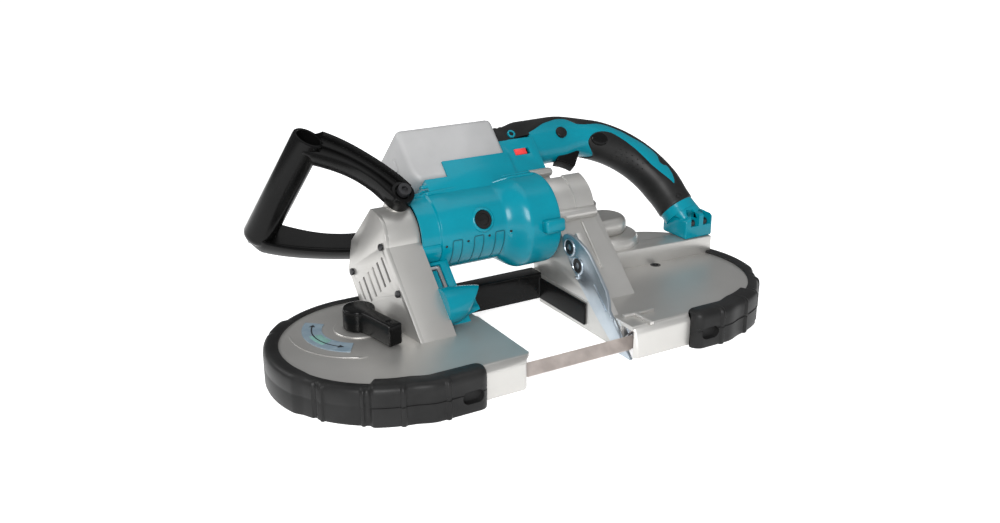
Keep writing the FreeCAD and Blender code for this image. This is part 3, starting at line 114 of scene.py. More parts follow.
world = bpy.data.worlds.new("studio_air")
world.use_nodes = True
air = world.node_tree
heading = air.nodes.new("ShaderNodeTexCoord")
ways = air.nodes.new("ShaderNodeSeparateXYZ")
front_light = air.nodes.new("ShaderNodeMapRange")
for socket, value in (("From Min", -1.0), ("From Max", 1.0),
                      ("To Min", front_strength), ("To Max", rear_strength)):
    front_light.inputs[socket].default_value = value
wire(air, (heading.outputs["Generated"], ways.inputs["Vector"]),
     (ways.outputs["Y"], front_light.inputs["Value"]),
     (front_light.outputs["Result"], air.nodes["Background"].inputs["Strength"]))
air.nodes["Background"].inputs["Color"].default_value = (0.97, 0.985, 1.0, 1.0)
scene.world = world
lamp("window", (-1.25, -1.9, 1.15), 1.1, 62.0)
lamp("sky_lamp", (0.3, 0.1, 2.2), 1.6, 9.0)
lamp("rim_lamp", (-1.3, 1.3, 1.4), 1.0, 14.0)

floor_mesh = bpy.data.meshes.new("floor")
floor_corners = [(x * floor_reach, y * floor_reach, 0) for x, y in ((-1, -1), (1, -1), (1, 1), (-1, 1))]
floor_mesh.from_pydata(floor_corners, [], [(0, 1, 2, 3)])
floor = add("floor", floor_mesh)
paper, paper_tree, paper_bsdf = shader("white_paper")
paper_bsdf.inputs["Base Color"].default_value = (0.94, 0.94, 0.94, 1.0)
paper_bsdf.inputs["Roughness"].default_value = 0.9
ray = paper_tree.nodes.new("ShaderNodeLightPath")
seen, through, glow = [paper_tree.nodes.new("ShaderNodeMath") for step in range(3)]
for sum_node in (seen, through):
    sum_node.operation = "ADD"
glow.operation = "MULTIPLY"
glow.inputs[1].default_value = paper_glow
wire(paper_tree, (ray.outputs["Is Camera Ray"], seen.inputs[0]),
     (ray.outputs["Is Glossy Ray"], seen.inputs[1]),
     (seen.outputs[0], through.inputs[0]),
     (ray.outputs["Is Transmission Ray"], through.inputs[1]),
     (through.outputs[0], glow.inputs[0]),
     (glow.outputs[0], paper_bsdf.inputs["Emission Strength"]))
paper_bsdf.inputs["Emission Color"].default_value = (1.0, 1.0, 1.0, 1.0)
floor.data.materials.append(paper)

# Wheel housings: two alloy castings sprayed in a warm silver grey, each a flat deck with a deep skirt.
# The wheels run under the decks. Low ribs, a ring round the lever and a wall under the rear handle's foot
# are cast on top.
deck_top, deck_sunk = 34.0, 0.5
casting_front, edge_radius, edge_steps = -135.85, 8.0, 8
edge_inner, edge_outer = 45.0, 128.0
lever_centre = Vector((-172.0, 2.2, 0.0))
slots = {part["node"]: part["material_slot"] for part in frame["record"]["subparts"]}


def speckle(tree, place, scale, detail):
    """A noise texture on Object coordinates."""
    made = tree.nodes.new("ShaderNodeTexNoise")
    made.inputs["Scale"].default_value = scale
    made.inputs["Detail"].default_value = detail
    tree.links.new(place, made.inputs["Vector"])
    return made.outputs["Fac"]


def finish(name, dark, light, gloss, metallic=0.0, cloud=16.0, fine=900.0, grain=0.08, shine=0.5):
    """A moulded, sprayed or machined finish: a clouded colour, an uneven gloss and a fine grain."""
    made, tree, bsdf = shader(name)
    place = tree.nodes.new("ShaderNodeTexCoord").outputs["Object"]
    clouds = tree.nodes.new("ShaderNodeValToRGB")
    clouds.color_ramp.elements[0].position = 0.35
    clouds.color_ramp.elements[1].position = 0.65
    clouds.color_ramp.elements[0].color = (*dark, 1.0)
    clouds.color_ramp.elements[1].color = (*light, 1.0)
    grit = speckle(tree, place, fine, 6.0)
    sheen = tree.nodes.new("ShaderNodeMapRange")
    sheen.inputs["To Min"].default_value = gloss[0]
    sheen.inputs["To Max"].default_value = gloss[1]
    bump = tree.nodes.new("ShaderNodeBump")
    bump.inputs["Strength"].default_value = grain
    bump.inputs["Distance"].default_value = 0.2 * MM
    wire(tree, (speckle(tree, place, cloud, 4.0), clouds.inputs["Fac"]),
         (clouds.outputs["Color"], bsdf.inputs["Base Color"]),
         (grit, sheen.inputs["Value"]),
         (sheen.outputs["Result"], bsdf.inputs["Roughness"]),
         (grit, bump.inputs["Height"]),
         (bump.outputs["Normal"], bsdf.inputs["Normal"]))
    bsdf.inputs["Metallic"].default_value = metallic
    bsdf.inputs["Specular IOR Level"].default_value = shine
    return made


def painted(slot, material):
    """Gives a finish to every CAD piece of a material slot."""
    for node, node_slot in slots.items():
        if node_slot == slot:
            nodes[node].data.materials.clear()
            nodes[node].data.materials.append(material)
    return material


def baked(obj):
    """Turns an object's modifiers into plain mesh and takes them off."""
    bpy.context.view_layer.update()
    graph = bpy.context.evaluated_depsgraph_get()
    obj.data = bpy.data.meshes.new_from_object(obj.evaluated_get(graph))
    obj.modifiers.clear()
    return obj


def shaded(obj, angle=35.0):
    """Smooth shading with creases where faces meet at more than an angle."""
    obj.data.polygons.foreach_set("use_smooth", [True] * len(obj.data.polygons))
    obj.data.set_sharp_from_angle(angle=math.radians(angle))
    return obj


def rounded(obj, edge, segments=2):
    """Rounds an object's sharp edges."""
    rounding = obj.modifiers.new("edge", "BEVEL")
    rounding.width = edge * MM
    rounding.segments = segments
    rounding.limit_method = "ANGLE"
    rounding.angle_limit = math.radians(38.0)
    rounding.use_clamp_overlap = True
    return shaded(baked(obj))


def dressed(obj, node, material, replace=False):
    """Gives a piece its finish, a CAD node's body, and if asked the node's place."""
    obj.data.materials.clear()
    obj.data.materials.append(material)
    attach(obj, nodes[node]["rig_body"])
    if replace:
        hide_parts(node)
    return obj


def softened(node, name, edge, segments=2):
    """A copy of a CAD piece with its sharp edges rounded."""
    graph = bpy.context.evaluated_depsgraph_get()
    mesh = bpy.data.meshes.new_from_object(nodes[node].evaluated_get(graph))
    form = bmesh.new()
    form.from_mesh(mesh)
    bmesh.ops.remove_doubles(form, verts=form.verts, dist=0.002 * MM)
    bmesh.ops.dissolve_limit(form, angle_limit=math.radians(0.3), verts=form.verts, edges=form.edges)
    form.to_mesh(mesh)
    form.free()
    return rounded(add(name, mesh), edge, segments)


def solid(name, corners, faces):
    """An object from corners in millimetres, with its faces outwards."""
    mesh = bpy.data.meshes.new(name)
    mesh.from_pydata([Vector(corner) * MM for corner in corners], [], faces)
    form = bmesh.new()
    form.from_mesh(mesh)
    bmesh.ops.remove_doubles(form, verts=form.verts, dist=0.002 * MM)
    bmesh.ops.recalc_face_normals(form, faces=form.faces)
    form.to_mesh(mesh)
    form.free()
    return add(name, mesh)


def slab(name, outline, rise, edge, segments=2):
    """A flat outline pushed along a vector, with rounded edges."""
    count = len(outline)
    corners = [Vector(point) for point in outline] + [Vector(point) + Vector(rise) for point in outline]
    faces = [tuple(range(count)), tuple(range(count, 2 * count))]
    for step in range(count):
        after = (step + 1) % count
        faces.append((step, after, count + after, count + step))
    return rounded(solid(name, corners, faces), edge, segments)


def skin(name, rings, closed=False):
    """A surface through a row of rings that all have as many points; an open row gets end faces."""
    width = len(rings[0])
    corners = [point for ring in rings for point in ring]
    faces = []
    for row in range(len(rings) - (0 if closed else 1)):
        below = row * width
        above = (row + 1) % len(rings) * width
        for step in range(width):
            after = (step + 1) % width
            faces.append((below + step, below + after, above + after, above + step))
    if not closed:
        faces.append(tuple(range(width)))
        faces.append(tuple(range(len(corners) - width, len(corners))))
    return solid(name, corners, faces)


def full_turn(steps):
    """Angles evenly spaced round a circle."""
    return [2 * math.pi * step / steps for step in range(steps)]


def turned(name, place, axis, profile, steps=64, closed=False):
    """A turned piece: a profile of (distance along the axis, radius) swung round the axis."""
    tilt = Vector(axis).to_track_quat("Z", "Y").to_matrix()
    circle = [(math.cos(angle), math.sin(angle)) for angle in full_turn(steps)]
    rings = []
    for along, radius in profile:
        rings.append([Vector(place) + tilt @ Vector((radius * x, radius * y, along)) for x, y in circle])
    return shaded(skin(name, rings, closed), 30.0)


def cutting_slab(name, outline, rise):
    """A slab to cut with, its edges all but sharp."""
    return slab(name, outline, rise, 0.05)


def hollowed(obj, *cutters):
    """Cuts shapes out of an object."""
    for cutter in cutters:
        cut = obj.modifiers.new("cut", "BOOLEAN")
        cut.operation = "DIFFERENCE"
        cut.solver = "EXACT"
        cut.object = cutter
    baked(obj)
    for cutter in cutters:
        bpy.data.objects.remove(cutter)
    return obj


silver = painted("cast_silver", finish(
    "silver_spray", (0.47, 0.46, 0.44), (0.55, 0.54, 0.52), (0.30, 0.42),
    metallic=0.72, cloud=9.0, grain=0.05))
edge_plan = [(casting_front - 2.0, deck_top - edge_radius), (casting_front - 2.0, deck_top + 2.0),
             (casting_front + edge_radius, deck_top + 2.0)]
for step in range(edge_steps + 1):
    angle = math.pi / 2 * (1 - step / edge_steps)
    edge_plan.append((casting_front + edge_radius * (1 - math.cos(angle)),
                      deck_top - edge_radius * (1 - math.sin(angle))))
for node, side in (("idler_housing", -1), ("drive_housing", 1)):
    casting = softened(node, node + "_casting", 1.0)
    left, right = sorted((side * edge_inner, side * edge_outer))
    cutter = slab("edge_cutter", [(left, y, z) for y, z in edge_plan], (right - left, 0, 0), 0.02, 1)
    casting = shaded(hollowed(casting, cutter))
    even = casting.modifiers.new("even", "WEIGHTED_NORMAL")
    even.keep_sharp = True
    even.weight = 100
    dressed(baked(casting), node, silver, True)
ring_profile = [(-deck_sunk, 16.0), (-deck_sunk, 25.0), (0.6, 25.0), (1.0, 24.4), (1.0, 16.0)]
lever_ring = turned("lever_ring", lever_centre + Vector((0, 0, deck_top)), (0, 0, 1), ring_profile, 96, True)
dressed(lever_ring, "idler_housing", silver)
rib_plan = [(61.0, -104.0), (61.0, -109.0), (73.0, -109.0), (73.0, -134.0), (78.0, -134.0), (78.0, -109.0),
            (98.0, -109.0), (98.0, -104.0)]
ledge_plan = [(-140.0, -19.0), (-104.0, -21.0), (-104.0, -6.0), (-138.0, -5.0)]
lug_plan = [(-142.0, 29.0), (-121.0, 31.0), (-122.0, 41.0), (-142.0, 41.0)]
wall_plan = [(129.0, 3.0), (262.5, -3.6), (261.0, 10.0), (252.0, 24.0), (129.0, 24.0)]
for name, node, plan, high, edge in (("corner_rib", "drive_housing", rib_plan, 3.5, 0.9),
                                     ("deck_ledge", "idler_housing", ledge_plan, 5.0, 1.2),
                                     ("deck_lug", "idler_housing", lug_plan, 7.0, 1.2),
                                     ("rear_wall", "drive_housing", wall_plan, 20.5, 1.2)):
    block = slab(name, [(x, y, deck_top - deck_sunk) for x, y in plan], (0, 0, high), edge)
    dressed(block, node, silver)

# Rear beam: a black moulded cover over the blade's rear run, with a guard at its drive end.
# It bridges the two housings behind the throat and is screwed to both.


def grey(level):
    """A colour without a hue."""
    return (level, level, level)


black = painted("black_plastic", finish(
    "black_gloss", grey(0.003), grey(0.005), (0.16, 0.26), cloud=20.0, grain=0.02, shine=0.13))
dressed(softened("rear_beam", "rear_beam_cover", 1.5), "rear_beam", black, True)

# Bumpers: a moulded charcoal rubber rim pressed round the outer end of each housing.
# Each has a thin lip over the deck, padded and grooved sides, and a thick front block with an oval hole.
housing_middle = Vector((162.0, -30.85))
housing_radius = 100.5
rim_thick, rim_top, rim_lip, rim_crease = 8.4, 36.0, 3.2, 0.15
pad_thick, pad_top = 2.6, 0.9
block_thick, block_top, block_lip, block_crease, block_round = 12.0, 38.6, 7.2, 0.9, 9.0
# Each fin or groove: its place and half width in degrees round the housing, and its height.
fins = ((-36.0, 1.3, 2.0), (-32.0, 1.5, -1.6), (34.0, 2.2, -1.6), (-56.0, 1.3, 1.9), (-74.0, 1.5, 2.0))
oval_front, oval_deep, oval_high = -160.0, 19.0, 16.0


def smooth_step(value, start, end):
    """0 before the start, 1 after the end and a smooth rise between them."""
    share = min(1.0, max(0.0, (value - start) / (end - start)))
    return share * share * (3 - 2 * share)


def swell(value, middle, half):
    """A smooth bump of height 1 about a middle."""
    return 1 - smooth_step(abs(value - middle), 0.35 * half, half)


def rim_section(thick, top, lip, crease):
    """A bumper's cross-section, as (outwards, up) from the foot of the housing's wall."""
    return [(0.15, 0.8), (1.5, 0.0), (thick - 2.5, 0.0), (thick - 0.8, 0.7), (thick, 2.5), (thick, 8.0),
            (thick, top * 0.49), (thick - crease, top * 0.5), (thick - crease, top * 0.55),
            (thick, top * 0.56), (thick, top - 8.0), (thick - 0.5, top - 4.2), (thick - 1.8, top - 1.8),
            (thick - 4.0, top - 0.4), (thick - 6.5, top), (1.2 - lip, top), (0.3 - lip, top - 0.4),
            (-lip, top - 1.0), (-lip, deck_top + 0.15), (0.15, deck_top + 0.15)]


def bumper_rim(name, side, block_end):
    """A rubber rim: round the disc of the housing from its rear, then along its straight front."""
    stations = []
    arc_steps, front_steps = 300, 70
    arc_start = 90.0 if side < 0 else 77.0
    if side < 0:
        for along in (20.0, 14.0, 8.0, 3.0):
            foot = housing_middle + Vector((-along, housing_radius))
            stations.append((foot, Vector((0, 1)), rim_thick, rim_top, rim_lip, rim_crease))
    for step in range(arc_steps + 1):
        turn = arc_start - (90.0 + arc_start) * step / arc_steps
        block = smooth_step(-turn, 58.5, 61.0)
        pad = smooth_step(turn, -26.0, -19.0) * (1 - smooth_step(turn, 48.0, 53.0))
        thick = rim_thick + pad_thick * pad + (block_thick - rim_thick) * block
        thick += sum(height * swell(turn, middle, half) for middle, half, height in fins)
        top = rim_top + pad_top * pad + (block_top - rim_top) * block
        lip = rim_lip + (block_lip - rim_lip) * block
        crease = rim_crease + (block_crease - rim_crease) * block
        out = Vector((math.cos(math.radians(turn)), math.sin(math.radians(turn))))
        foot = housing_middle + out * housing_radius
        foot.y -= smooth_step(-turn, 78.0, 90.0) * (housing_middle.y - housing_radius - casting_front)
        stations.append((foot, out, thick, top, lip, crease))
    length = housing_middle.x - block_end
    for step in range(1, front_steps + 1):
        along = length * step / front_steps
        close = min(1.0, (length - along) / block_round)
        fall = 1 - math.sqrt(max(0.0, 1 - (1 - close) ** 2))
        thick = block_thick + 2.0 * swell(along, 8.0, 3.0) - block_round * fall
        foot = Vector((housing_middle.x - along, casting_front))
        stations.append((foot, Vector((0, -1)), thick, block_top - 2.4 * fall, block_lip - 4.0 * fall,
                         block_crease - 0.8 * fall))
    loops = []
    for foot, out, thick, top, lip, crease in stations:
        loop = []
        for outwards, up in rim_section(thick, top, lip, crease):
            spot = foot + out * outwards
            loop.append(Vector((side * spot.x, spot.y, up)))
        loops.append(loop)
    return skin(name, loops)


def stadium(reach, radius, steps=16):
    """An outline of two half circles, their middles a reach to each side, and the straight sides between."""
    points = []
    for middle, start in ((reach, -math.pi / 2), (-reach, math.pi / 2)):
        for step in range(steps + 1):
            angle = start + math.pi * step / steps
            points.append((middle + radius * math.cos(angle), radius * math.sin(angle)))
    return points


rubber = painted("rubber", finish(
    "charcoal_rubber", grey(0.010), grey(0.017), (0.36, 0.50),
    cloud=25.0, fine=1100.0, grain=0.1, shine=0.18))
for node, side, block_end, oval_x in (("idler_bumper", -1, 113.0, -130.0), ("drive_bumper", 1, 122.0, 139.0)):
    rim = bumper_rim(node + "_rim", side, block_end)
    hole = [(oval_x + x, oval_front, oval_high + z) for x, z in stadium(4.4, 6.2)]
    rim = hollowed(rim, cutting_slab("oval_cutter", hole, (0, oval_deep, 0)))
    dressed(shaded(rim, 40.0), node, rubber, True)

# Wheels, motor and gear train: turned alloy wheels with rubber tyres, cut steel gears and shafts, and the
# motor's stacked iron, copper and carbon. They run inside the castings and keep the meshes of their solids.
steel = painted("machined_steel", finish(
    "machined_steel", (0.34, 0.34, 0.35), (0.46, 0.46, 0.47), (0.22, 0.36), metallic=1.0, cloud=40.0))
# This near-black is the real colour of the carbon brushes and inner plastic parts, and also serves as painted
# shade in holes and behind the vent cover's slots.
inner_black_and_shade = finish("inner_black_and_shade", grey(0.006), grey(0.011), (0.3, 0.5), cloud=40.0, grain=0.05, shine=0.2)
for slot in ("carbon", "inner_plastic"):
    painted(slot, inner_black_and_shade)
painted("wheel_alloy", finish("turned_alloy", grey(0.42), grey(0.52), (0.25, 0.40), metallic=1.0, cloud=30.0))
painted("iron_lamination", finish(
    "stacked_iron", (0.10, 0.10, 0.105), (0.17, 0.17, 0.175), (0.4, 0.6), metallic=0.8, cloud=60.0))
painted("copper", finish(
    "turned_copper", (0.55, 0.24, 0.12), (0.72, 0.34, 0.18), (0.2, 0.35), metallic=1.0, cloud=60.0))
painted("tyre_rubber", finish(
    "tyre_urethane", (0.012, 0.012, 0.013), (0.024, 0.024, 0.025), (0.45, 0.6), cloud=40.0))

# Tension lever and legend: a glossy black moulded lever on a cam under the deck, and a printed plate
# let into the deck, along which the lever points. The print is a plain arc arrow.
lever_heading = math.radians(-78.0)
lever_along = Vector((math.cos(lever_heading), math.sin(lever_heading)))
lever_across = Vector((-lever_along.y, lever_along.x))
lever_foot = deck_top + 1.2
lever_top = (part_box("tension_lever")[1] / MM).z
hub_radius, dimple_reach = 15.5, 48.0


def lever_outline():
    """The lever from above: a round hub that runs into a straight arm."""
    points = []
    for step in range(41):
        angle = lever_heading + math.radians(32.0 + 296.0 * step / 40)
        points.append(lever_centre.xy + hub_radius * Vector((math.cos(angle), math.sin(angle))))
    for reach, half in ((17.0, -7.4), (28.0, -7.0), (57.0, -7.6), (58.5, -6.6),
                        (58.5, 6.6), (57.0, 7.6), (28.0, 7.0), (17.0, 7.4)):
        points.append(lever_centre.xy + lever_along * reach + lever_across * half)
    return points


lever_plan = [(point.x, point.y, lever_foot) for point in lever_outline()]
lever = slab("tension_lever_arm", lever_plan, (0, 0, lever_top - lever_foot), 2.2, 3)
dimple_at = lever_centre.xy + dimple_reach * lever_along
dimple_profile = [(-2.2, 0.2), (-2.0, 1.4), (-1.2, 2.6), (0.0, 3.4), (3.0, 3.6)]
dimple = turned("dimple_cutter", (dimple_at.x, dimple_at.y, lever_top), (0, 0, 1), dimple_profile, 32)
dressed(shaded(hollowed(lever, dimple)), "tension_lever", black, True)


def round_lever(radius, degrees, z):
    """A point on a circle round the lever's centre."""
    angle = math.radians(degrees)
    return (lever_centre.x + radius * math.cos(angle), lever_centre.y + radius * math.sin(angle), z)


def arc_strip(inner, outer, start, end, z, steps=48):
    """The outline of a flat strip bent round the lever's centre."""
    turns = [start + (end - start) * step / steps for step in range(steps + 1)]
    return ([round_lever(outer, turn, z) for turn in turns]
            + [round_lever(inner, turn, z) for turn in reversed(turns)])


def arrow_head(radius, turn, length, z):
    """A small triangle on an arc round the lever's centre, pointing along the arc."""
    return [round_lever(radius - 3.2, turn, z), round_lever(radius, turn + length, z),
            round_lever(radius + 3.2, turn, z)]


painted("legend", finish(
    "legend_print", (0.17, 0.235, 0.29), (0.235, 0.305, 0.355), (0.30, 0.45), metallic=0.1, cloud=90.0))
dark_print = finish("dark_print", (0.012, 0.016, 0.020), (0.02, 0.025, 0.03), (0.3, 0.5), cloud=90.0)
green_print = finish("green_print", (0.15, 0.30, 0.27), (0.19, 0.36, 0.32), (0.3, 0.5), cloud=90.0)
plate_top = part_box("legend_plate")[1].z / MM
ink_top = plate_top + 0.02
for name, outline, ink in (("legend_field", arc_strip(38.0, 50.0, 176.0, 204.0, plate_top), green_print),
                           ("legend_arc", arc_strip(45.0, 46.4, 150.0, 222.0, ink_top), dark_print),
                           ("legend_tip", arrow_head(45.7, 222.0, 7.0, ink_top), dark_print),
                           ("legend_tail", arrow_head(45.7, 150.0, -7.0, ink_top), dark_print)):
    dressed(slab(name, outline, (0, 0, 0.1), 0.03), "legend_plate", ink)
for name, outline in (("deck_arrow", arc_strip(66.0, 67.4, 168.0, 246.0, deck_top - 0.2)),
                      ("deck_arrow_tip", arrow_head(66.7, 246.0, 7.5, deck_top - 0.2))):
    dressed(slab(name, outline, (0, 0, 0.7), 0.25), "idler_housing", silver)

# Blade, guides and rollers: a toothed band of brown-grey spring steel, twisted by 45 degrees in front.
# Two machined guides hold it between pairs of steel rollers at the ends of the throat.
tooth_pitch, tooth_count = 1.8, 66
tooth_left, tooth_line = -62.0, -6.5


def repeated(name, template, places, material):
    """Copies of a small shape at a row of places."""
    group = bpy.data.node_groups.new(name, "GeometryNodeTree")
    group.interface.new_socket("Geometry", in_out="INPUT", socket_type="NodeSocketGeometry")
    shape_in = group.interface.new_socket("Shape", in_out="INPUT", socket_type="NodeSocketObject")
    finish_in = group.interface.new_socket("Finish", in_out="INPUT", socket_type="NodeSocketMaterial")
    group.interface.new_socket("Geometry", in_out="OUTPUT", socket_type="NodeSocketGeometry")
    entry = group.nodes.new("NodeGroupInput")
    leave = group.nodes.new("NodeGroupOutput")
    shape = group.nodes.new("GeometryNodeObjectInfo")
    points = group.nodes.new("GeometryNodeMeshToPoints")
    copies = group.nodes.new("GeometryNodeInstanceOnPoints")
    real = group.nodes.new("GeometryNodeRealizeInstances")
    paint = group.nodes.new("GeometryNodeSetMaterial")
    wire(group, (entry.outputs["Geometry"], points.inputs["Mesh"]),
         (entry.outputs["Shape"], shape.inputs["Object"]),
         (points.outputs["Points"], copies.inputs["Points"]),
         (shape.outputs["Geometry"], copies.inputs["Instance"]),
         (copies.outputs["Instances"], real.inputs["Geometry"]),
         (real.outputs["Geometry"], paint.inputs["Geometry"]),
         (entry.outputs["Finish"], paint.inputs["Material"]),
         (paint.outputs["Geometry"], leave.inputs["Geometry"]))
    mesh = bpy.data.meshes.new(name)
    mesh.from_pydata([Vector(place) * MM for place in places], [], [])
    made = add(name, mesh)
    spread = made.modifiers.new("spread", "NODES")
    spread.node_group = group
    spread[shape_in.identifier] = template
    spread[finish_in.identifier] = material
    baked(made)
    bpy.data.objects.remove(template)
    return shaded(made)


def leaned(x, y, z):
    """A point of the upright saw, in its place on the floor."""
    return Vector((x, -122.85 + math.sqrt(0.5) * (y + z), 14.5 + math.sqrt(0.5) * (z - y)))


def across_saw(x, outline):
    """An outline of (y, z) points on the upright saw, in a plane across it."""
    return [leaned(x, y, z) for y, z in outline]


def along_saw(y, outline):
    """An outline of (x, z) points on the upright saw, in a plane along it."""
    return [leaned(x, y, z) for x, z in outline]


origin = leaned(0, 0, 0)
front_way = leaned(0, -1, 0) - origin
blade_steel = painted("blade_steel", finish(
    "blade_steel", (0.46, 0.40, 0.37), (0.60, 0.53, 0.49), (0.30, 0.46), metallic=0.6, cloud=60.0))
for node in ("idler_guide", "drive_guide"):
    dressed(softened(node, node + "_block", 0.5), node, steel, True)
tooth_outline = along_saw(-0.3, ((-0.85, 0.15), (0.75, 0.15), (0.55, -1.1), (0.2, -1.15)))
tooth = slab("tooth_shape", [point - origin for point in tooth_outline], front_way * -0.6, 0.02, 1)
tooth_places = [leaned(tooth_left + tooth_pitch * step, 0, tooth_line) for step in range(tooth_count)]
dressed(repeated("blade_teeth", tooth, tooth_places, blade_steel), "saw_blade", blade_steel)

# Stop plate: a zinc-plated steel plate with a rounded top and a pressed rib.
# Two black socket bolts hold it to the wall beside the drive wheel, and slide with it in the wall's slot.
plate_left, plate_thick = 50.5, 3.8
bolt_y, bolt_heights = 19.0, (118.0, 96.5)
zinc = painted("zinc", finish(
    "zinc_plate", (0.33, 0.38, 0.43), (0.47, 0.52, 0.56), (0.24, 0.38), metallic=0.9, cloud=26.0))
dark_steel = painted("black_steel", finish(
    "blackened_steel", (0.012, 0.012, 0.013), (0.026, 0.026, 0.028), (0.26, 0.42), metallic=0.4, cloud=60.0))
plate_outline = [(30.0, 122.0), (28.5, 128.0), (25.0, 132.0), (20.0, 133.5), (14.0, 131.5), (8.0, 126.0),
                 (1.5, 116.5), (-4.0, 105.0), (-6.5, 95.0), (-7.5, 70.0), (-7.5, 54.0), (-5.0, 46.0),
                 (1.5, 36.0), (1.5, 8.0), (1.5, -17.0), (3.0, -16.3), (16.4, -2.9), (17.8, 0.0),
                 (20.0, 13.0), (25.0, 40.0), (28.0, 64.0), (30.0, 84.0)]
stop_plate = slab("stopper_plate_press", across_saw(plate_left, plate_outline), (plate_thick, 0, 0), 0.7)
dressed(stop_plate, "stopper_plate", zinc, True)
for step, z in enumerate(bolt_heights):
    seat = leaned(plate_left - 0.1, bolt_y, z)
    rim = turned("stopper_rim.%d" % step, seat, (-1, 0, 0),
                 [(-0.5, 7.4), (-0.5, 9.8), (0.2, 9.8), (0.9, 9.2), (1.1, 8.6), (0.8, 7.9), (0.0, 7.4)],
                 64, True)
    dressed(rim, "stopper_plate", zinc)
    head = turned("stopper_head.%d" % step, seat, (-1, 0, 0),
                  [(-3.0, 7.6), (0.3, 7.6), (0.7, 7.0), (0.8, 3.6), (-1.6, 3.4), (-1.6, 0.3)], 48)
    dressed(head, "stopper_bolts", dark_steel, True)
stud_profile = [(0.0, 3.2), (1.0, 2.8), (1.8, 1.6), (2.0, 0.3)]
stud = turned("stopper_stud", leaned(plate_left + 0.1, 27.0, 88.0), (-1, 0, 0), stud_profile, 32)
dressed(stud, "stopper_plate", zinc)
press_plan = across_saw(plate_left + 0.1, ((4.0, 38.0), (4.0, 68.0), (7.0, 68.0), (7.0, 38.0)))
dressed(slab("stopper_rib", press_plan, (-1.5, 0, 0), 0.6), "stopper_plate", zinc)

# Motor housing: a glossy teal moulding that swells towards the gear case, with two ribs along its top.
# A slotted black cap on each side screws over a brush; three moulded vent frames sit low at the front.
motor_y, motor_z = 56.0, 181.0
barrel_radius, barrel_bore, barrel_steps = 40.0, 36.5, 128
barrel_left, gear_face = -100.0, 50.0
bulge_step, bulge_forward = 8.0, 5.0
tail_length, tail_step, end_step = 4.0, 1.6, 2.2
cap_x, cap_turns = -31.6, (22.0, 202.0)
vent_pitch, vent_wide = 24.2, 10.6


def round_motor(x, radius, degrees, forward=0.0, down=0.0):
    """A point round the motor's axis: degrees are counted downwards from straight out at the front."""
    angle = math.radians(degrees)
    return leaned(x, motor_y - forward - radius * math.cos(angle), motor_z - down - radius * math.sin(angle))


def on_barrel(x, degrees, proud=0.0):
    """A point of the motor housing's surface, which swells forwards and down and narrows at both ends."""
    grow = smooth_step(x, -8.0, 17.0)
    tail = 1 - math.sqrt(max(0.0, 1 - max(0.0, (x - gear_face + tail_length) / tail_length) ** 2))
    inset = tail_step * tail + end_step * (1 - smooth_step(x, -80.0, -78.4))
    radius = barrel_radius + bulge_step * grow - inset + proud
    return round_motor(x, radius, degrees, bulge_forward * grow, bulge_step * grow)


def barrel_out(x, degrees):
    """The way straight out of the motor housing's surface."""
    return (on_barrel(x, degrees, 1.0) - on_barrel(x, degrees)).normalized()


teal = painted("teal_plastic", finish(
    "teal_moulding", (0.0, 0.190, 0.255), (0.0, 0.218, 0.290), (0.16, 0.27),
    cloud=14.0, grain=0.03, shine=0.24))
stations = [barrel_left, -99.4, -90.0, -80.1, -79.7, -79.2, -78.7, -78.3, -60.0, -20.0]
stations += [-9.0 + step for step in range(28)]
stations += [25.0, 35.0, 44.0, 46.0, 47.0, 48.0, 49.0, 49.5, gear_face]
turns = [360.0 * step / barrel_steps for step in range(barrel_steps)]
barrel_rings = [[on_barrel(x, turn) for turn in turns] for x in stations]
barrel_rings += [[round_motor(x, barrel_bore, turn) for turn in turns] for x in (gear_face, barrel_left)]
barrel = skin("motor_barrel", barrel_rings, True)
for turn in cap_turns:
    mouth = on_barrel(cap_x, turn, -8.0)
    cutter = turned("brush_cutter", mouth, barrel_out(cap_x, turn), [(0.0, 9.6), (16.0, 9.6)], 48)
    barrel = hollowed(barrel, cutter)
dressed(shaded(barrel), "motor_housing", teal, True)


def surface_rib(name, path, half, proud):
    """A low rounded rib along a path of (x, degrees) on the motor housing."""
    rings = []
    for index, (x, degrees) in enumerate(path):
        before = on_barrel(*path[max(0, index - 1)])
        after = on_barrel(*path[min(len(path) - 1, index + 1)])
        here = on_barrel(x, degrees)
        up = barrel_out(x, degrees)
        side = up.cross((after - before).normalized())
        rings.append([here + side * half * across + up * rise
                      for across, rise in ((-1.0, -0.6), (-0.9, proud * 0.6), (-0.45, proud), (0.45, proud),
                                           (0.9, proud * 0.6), (1.0, -0.6))])
    return shaded(skin(name, rings), 50.0)


for step, degrees in enumerate((-44.0, -56.0)):
    path = [(-97.0 + 4.0 * index, degrees) for index in range(36)]
    dressed(surface_rib("barrel_rib.%d" % step, path, 1.6, 1.5), "motor_housing", teal)
# The vent frames are drawn in a darker copy of the teal: painted shade, standing in for the shade along
# moulded grooves.
frame_shade_teal = finish("teal_painted_groove_shade", (0.0, 0.085, 0.115), (0.0, 0.11, 0.145), (0.3, 0.45),
                    cloud=14.0, grain=0.03, shine=0.25)
for step in range(3):
    left = -67.5 + vent_pitch * step
    right = left + vent_wide
    top = 45.0 - 1.0 * step
    path = [(left, 90.0 - 4.0 * index) for index in range(10)] + [(left, top + 2.0), (left + 0.6, top + 0.4)]
    path += [(left + 2.0, top), (right - 2.0, top), (right - 0.6, top + 0.4), (right, top + 2.0)]
    path += [(right, 54.0 + 4.0 * index) for index in range(10)]
    dressed(surface_rib("vent_frame.%d" % step, path, 0.7, 0.5), "motor_housing", frame_shade_teal)
dot_profile = [(-1.5, 0.2), (-0.9, 1.2), (0.0, 1.6), (0.9, 1.2), (1.5, 0.2)]
dot = turned("dot_shape", (0, 0, 0), (0, 0, 1), dot_profile, 20)
dot_places = [on_barrel(-74.5 + vent_pitch * step, 52.0 - 2.5 * step, -0.5) for step in range(4)]
dressed(repeated("barrel_dots", dot, dot_places, inner_black_and_shade), "motor_housing", inner_black_and_shade)
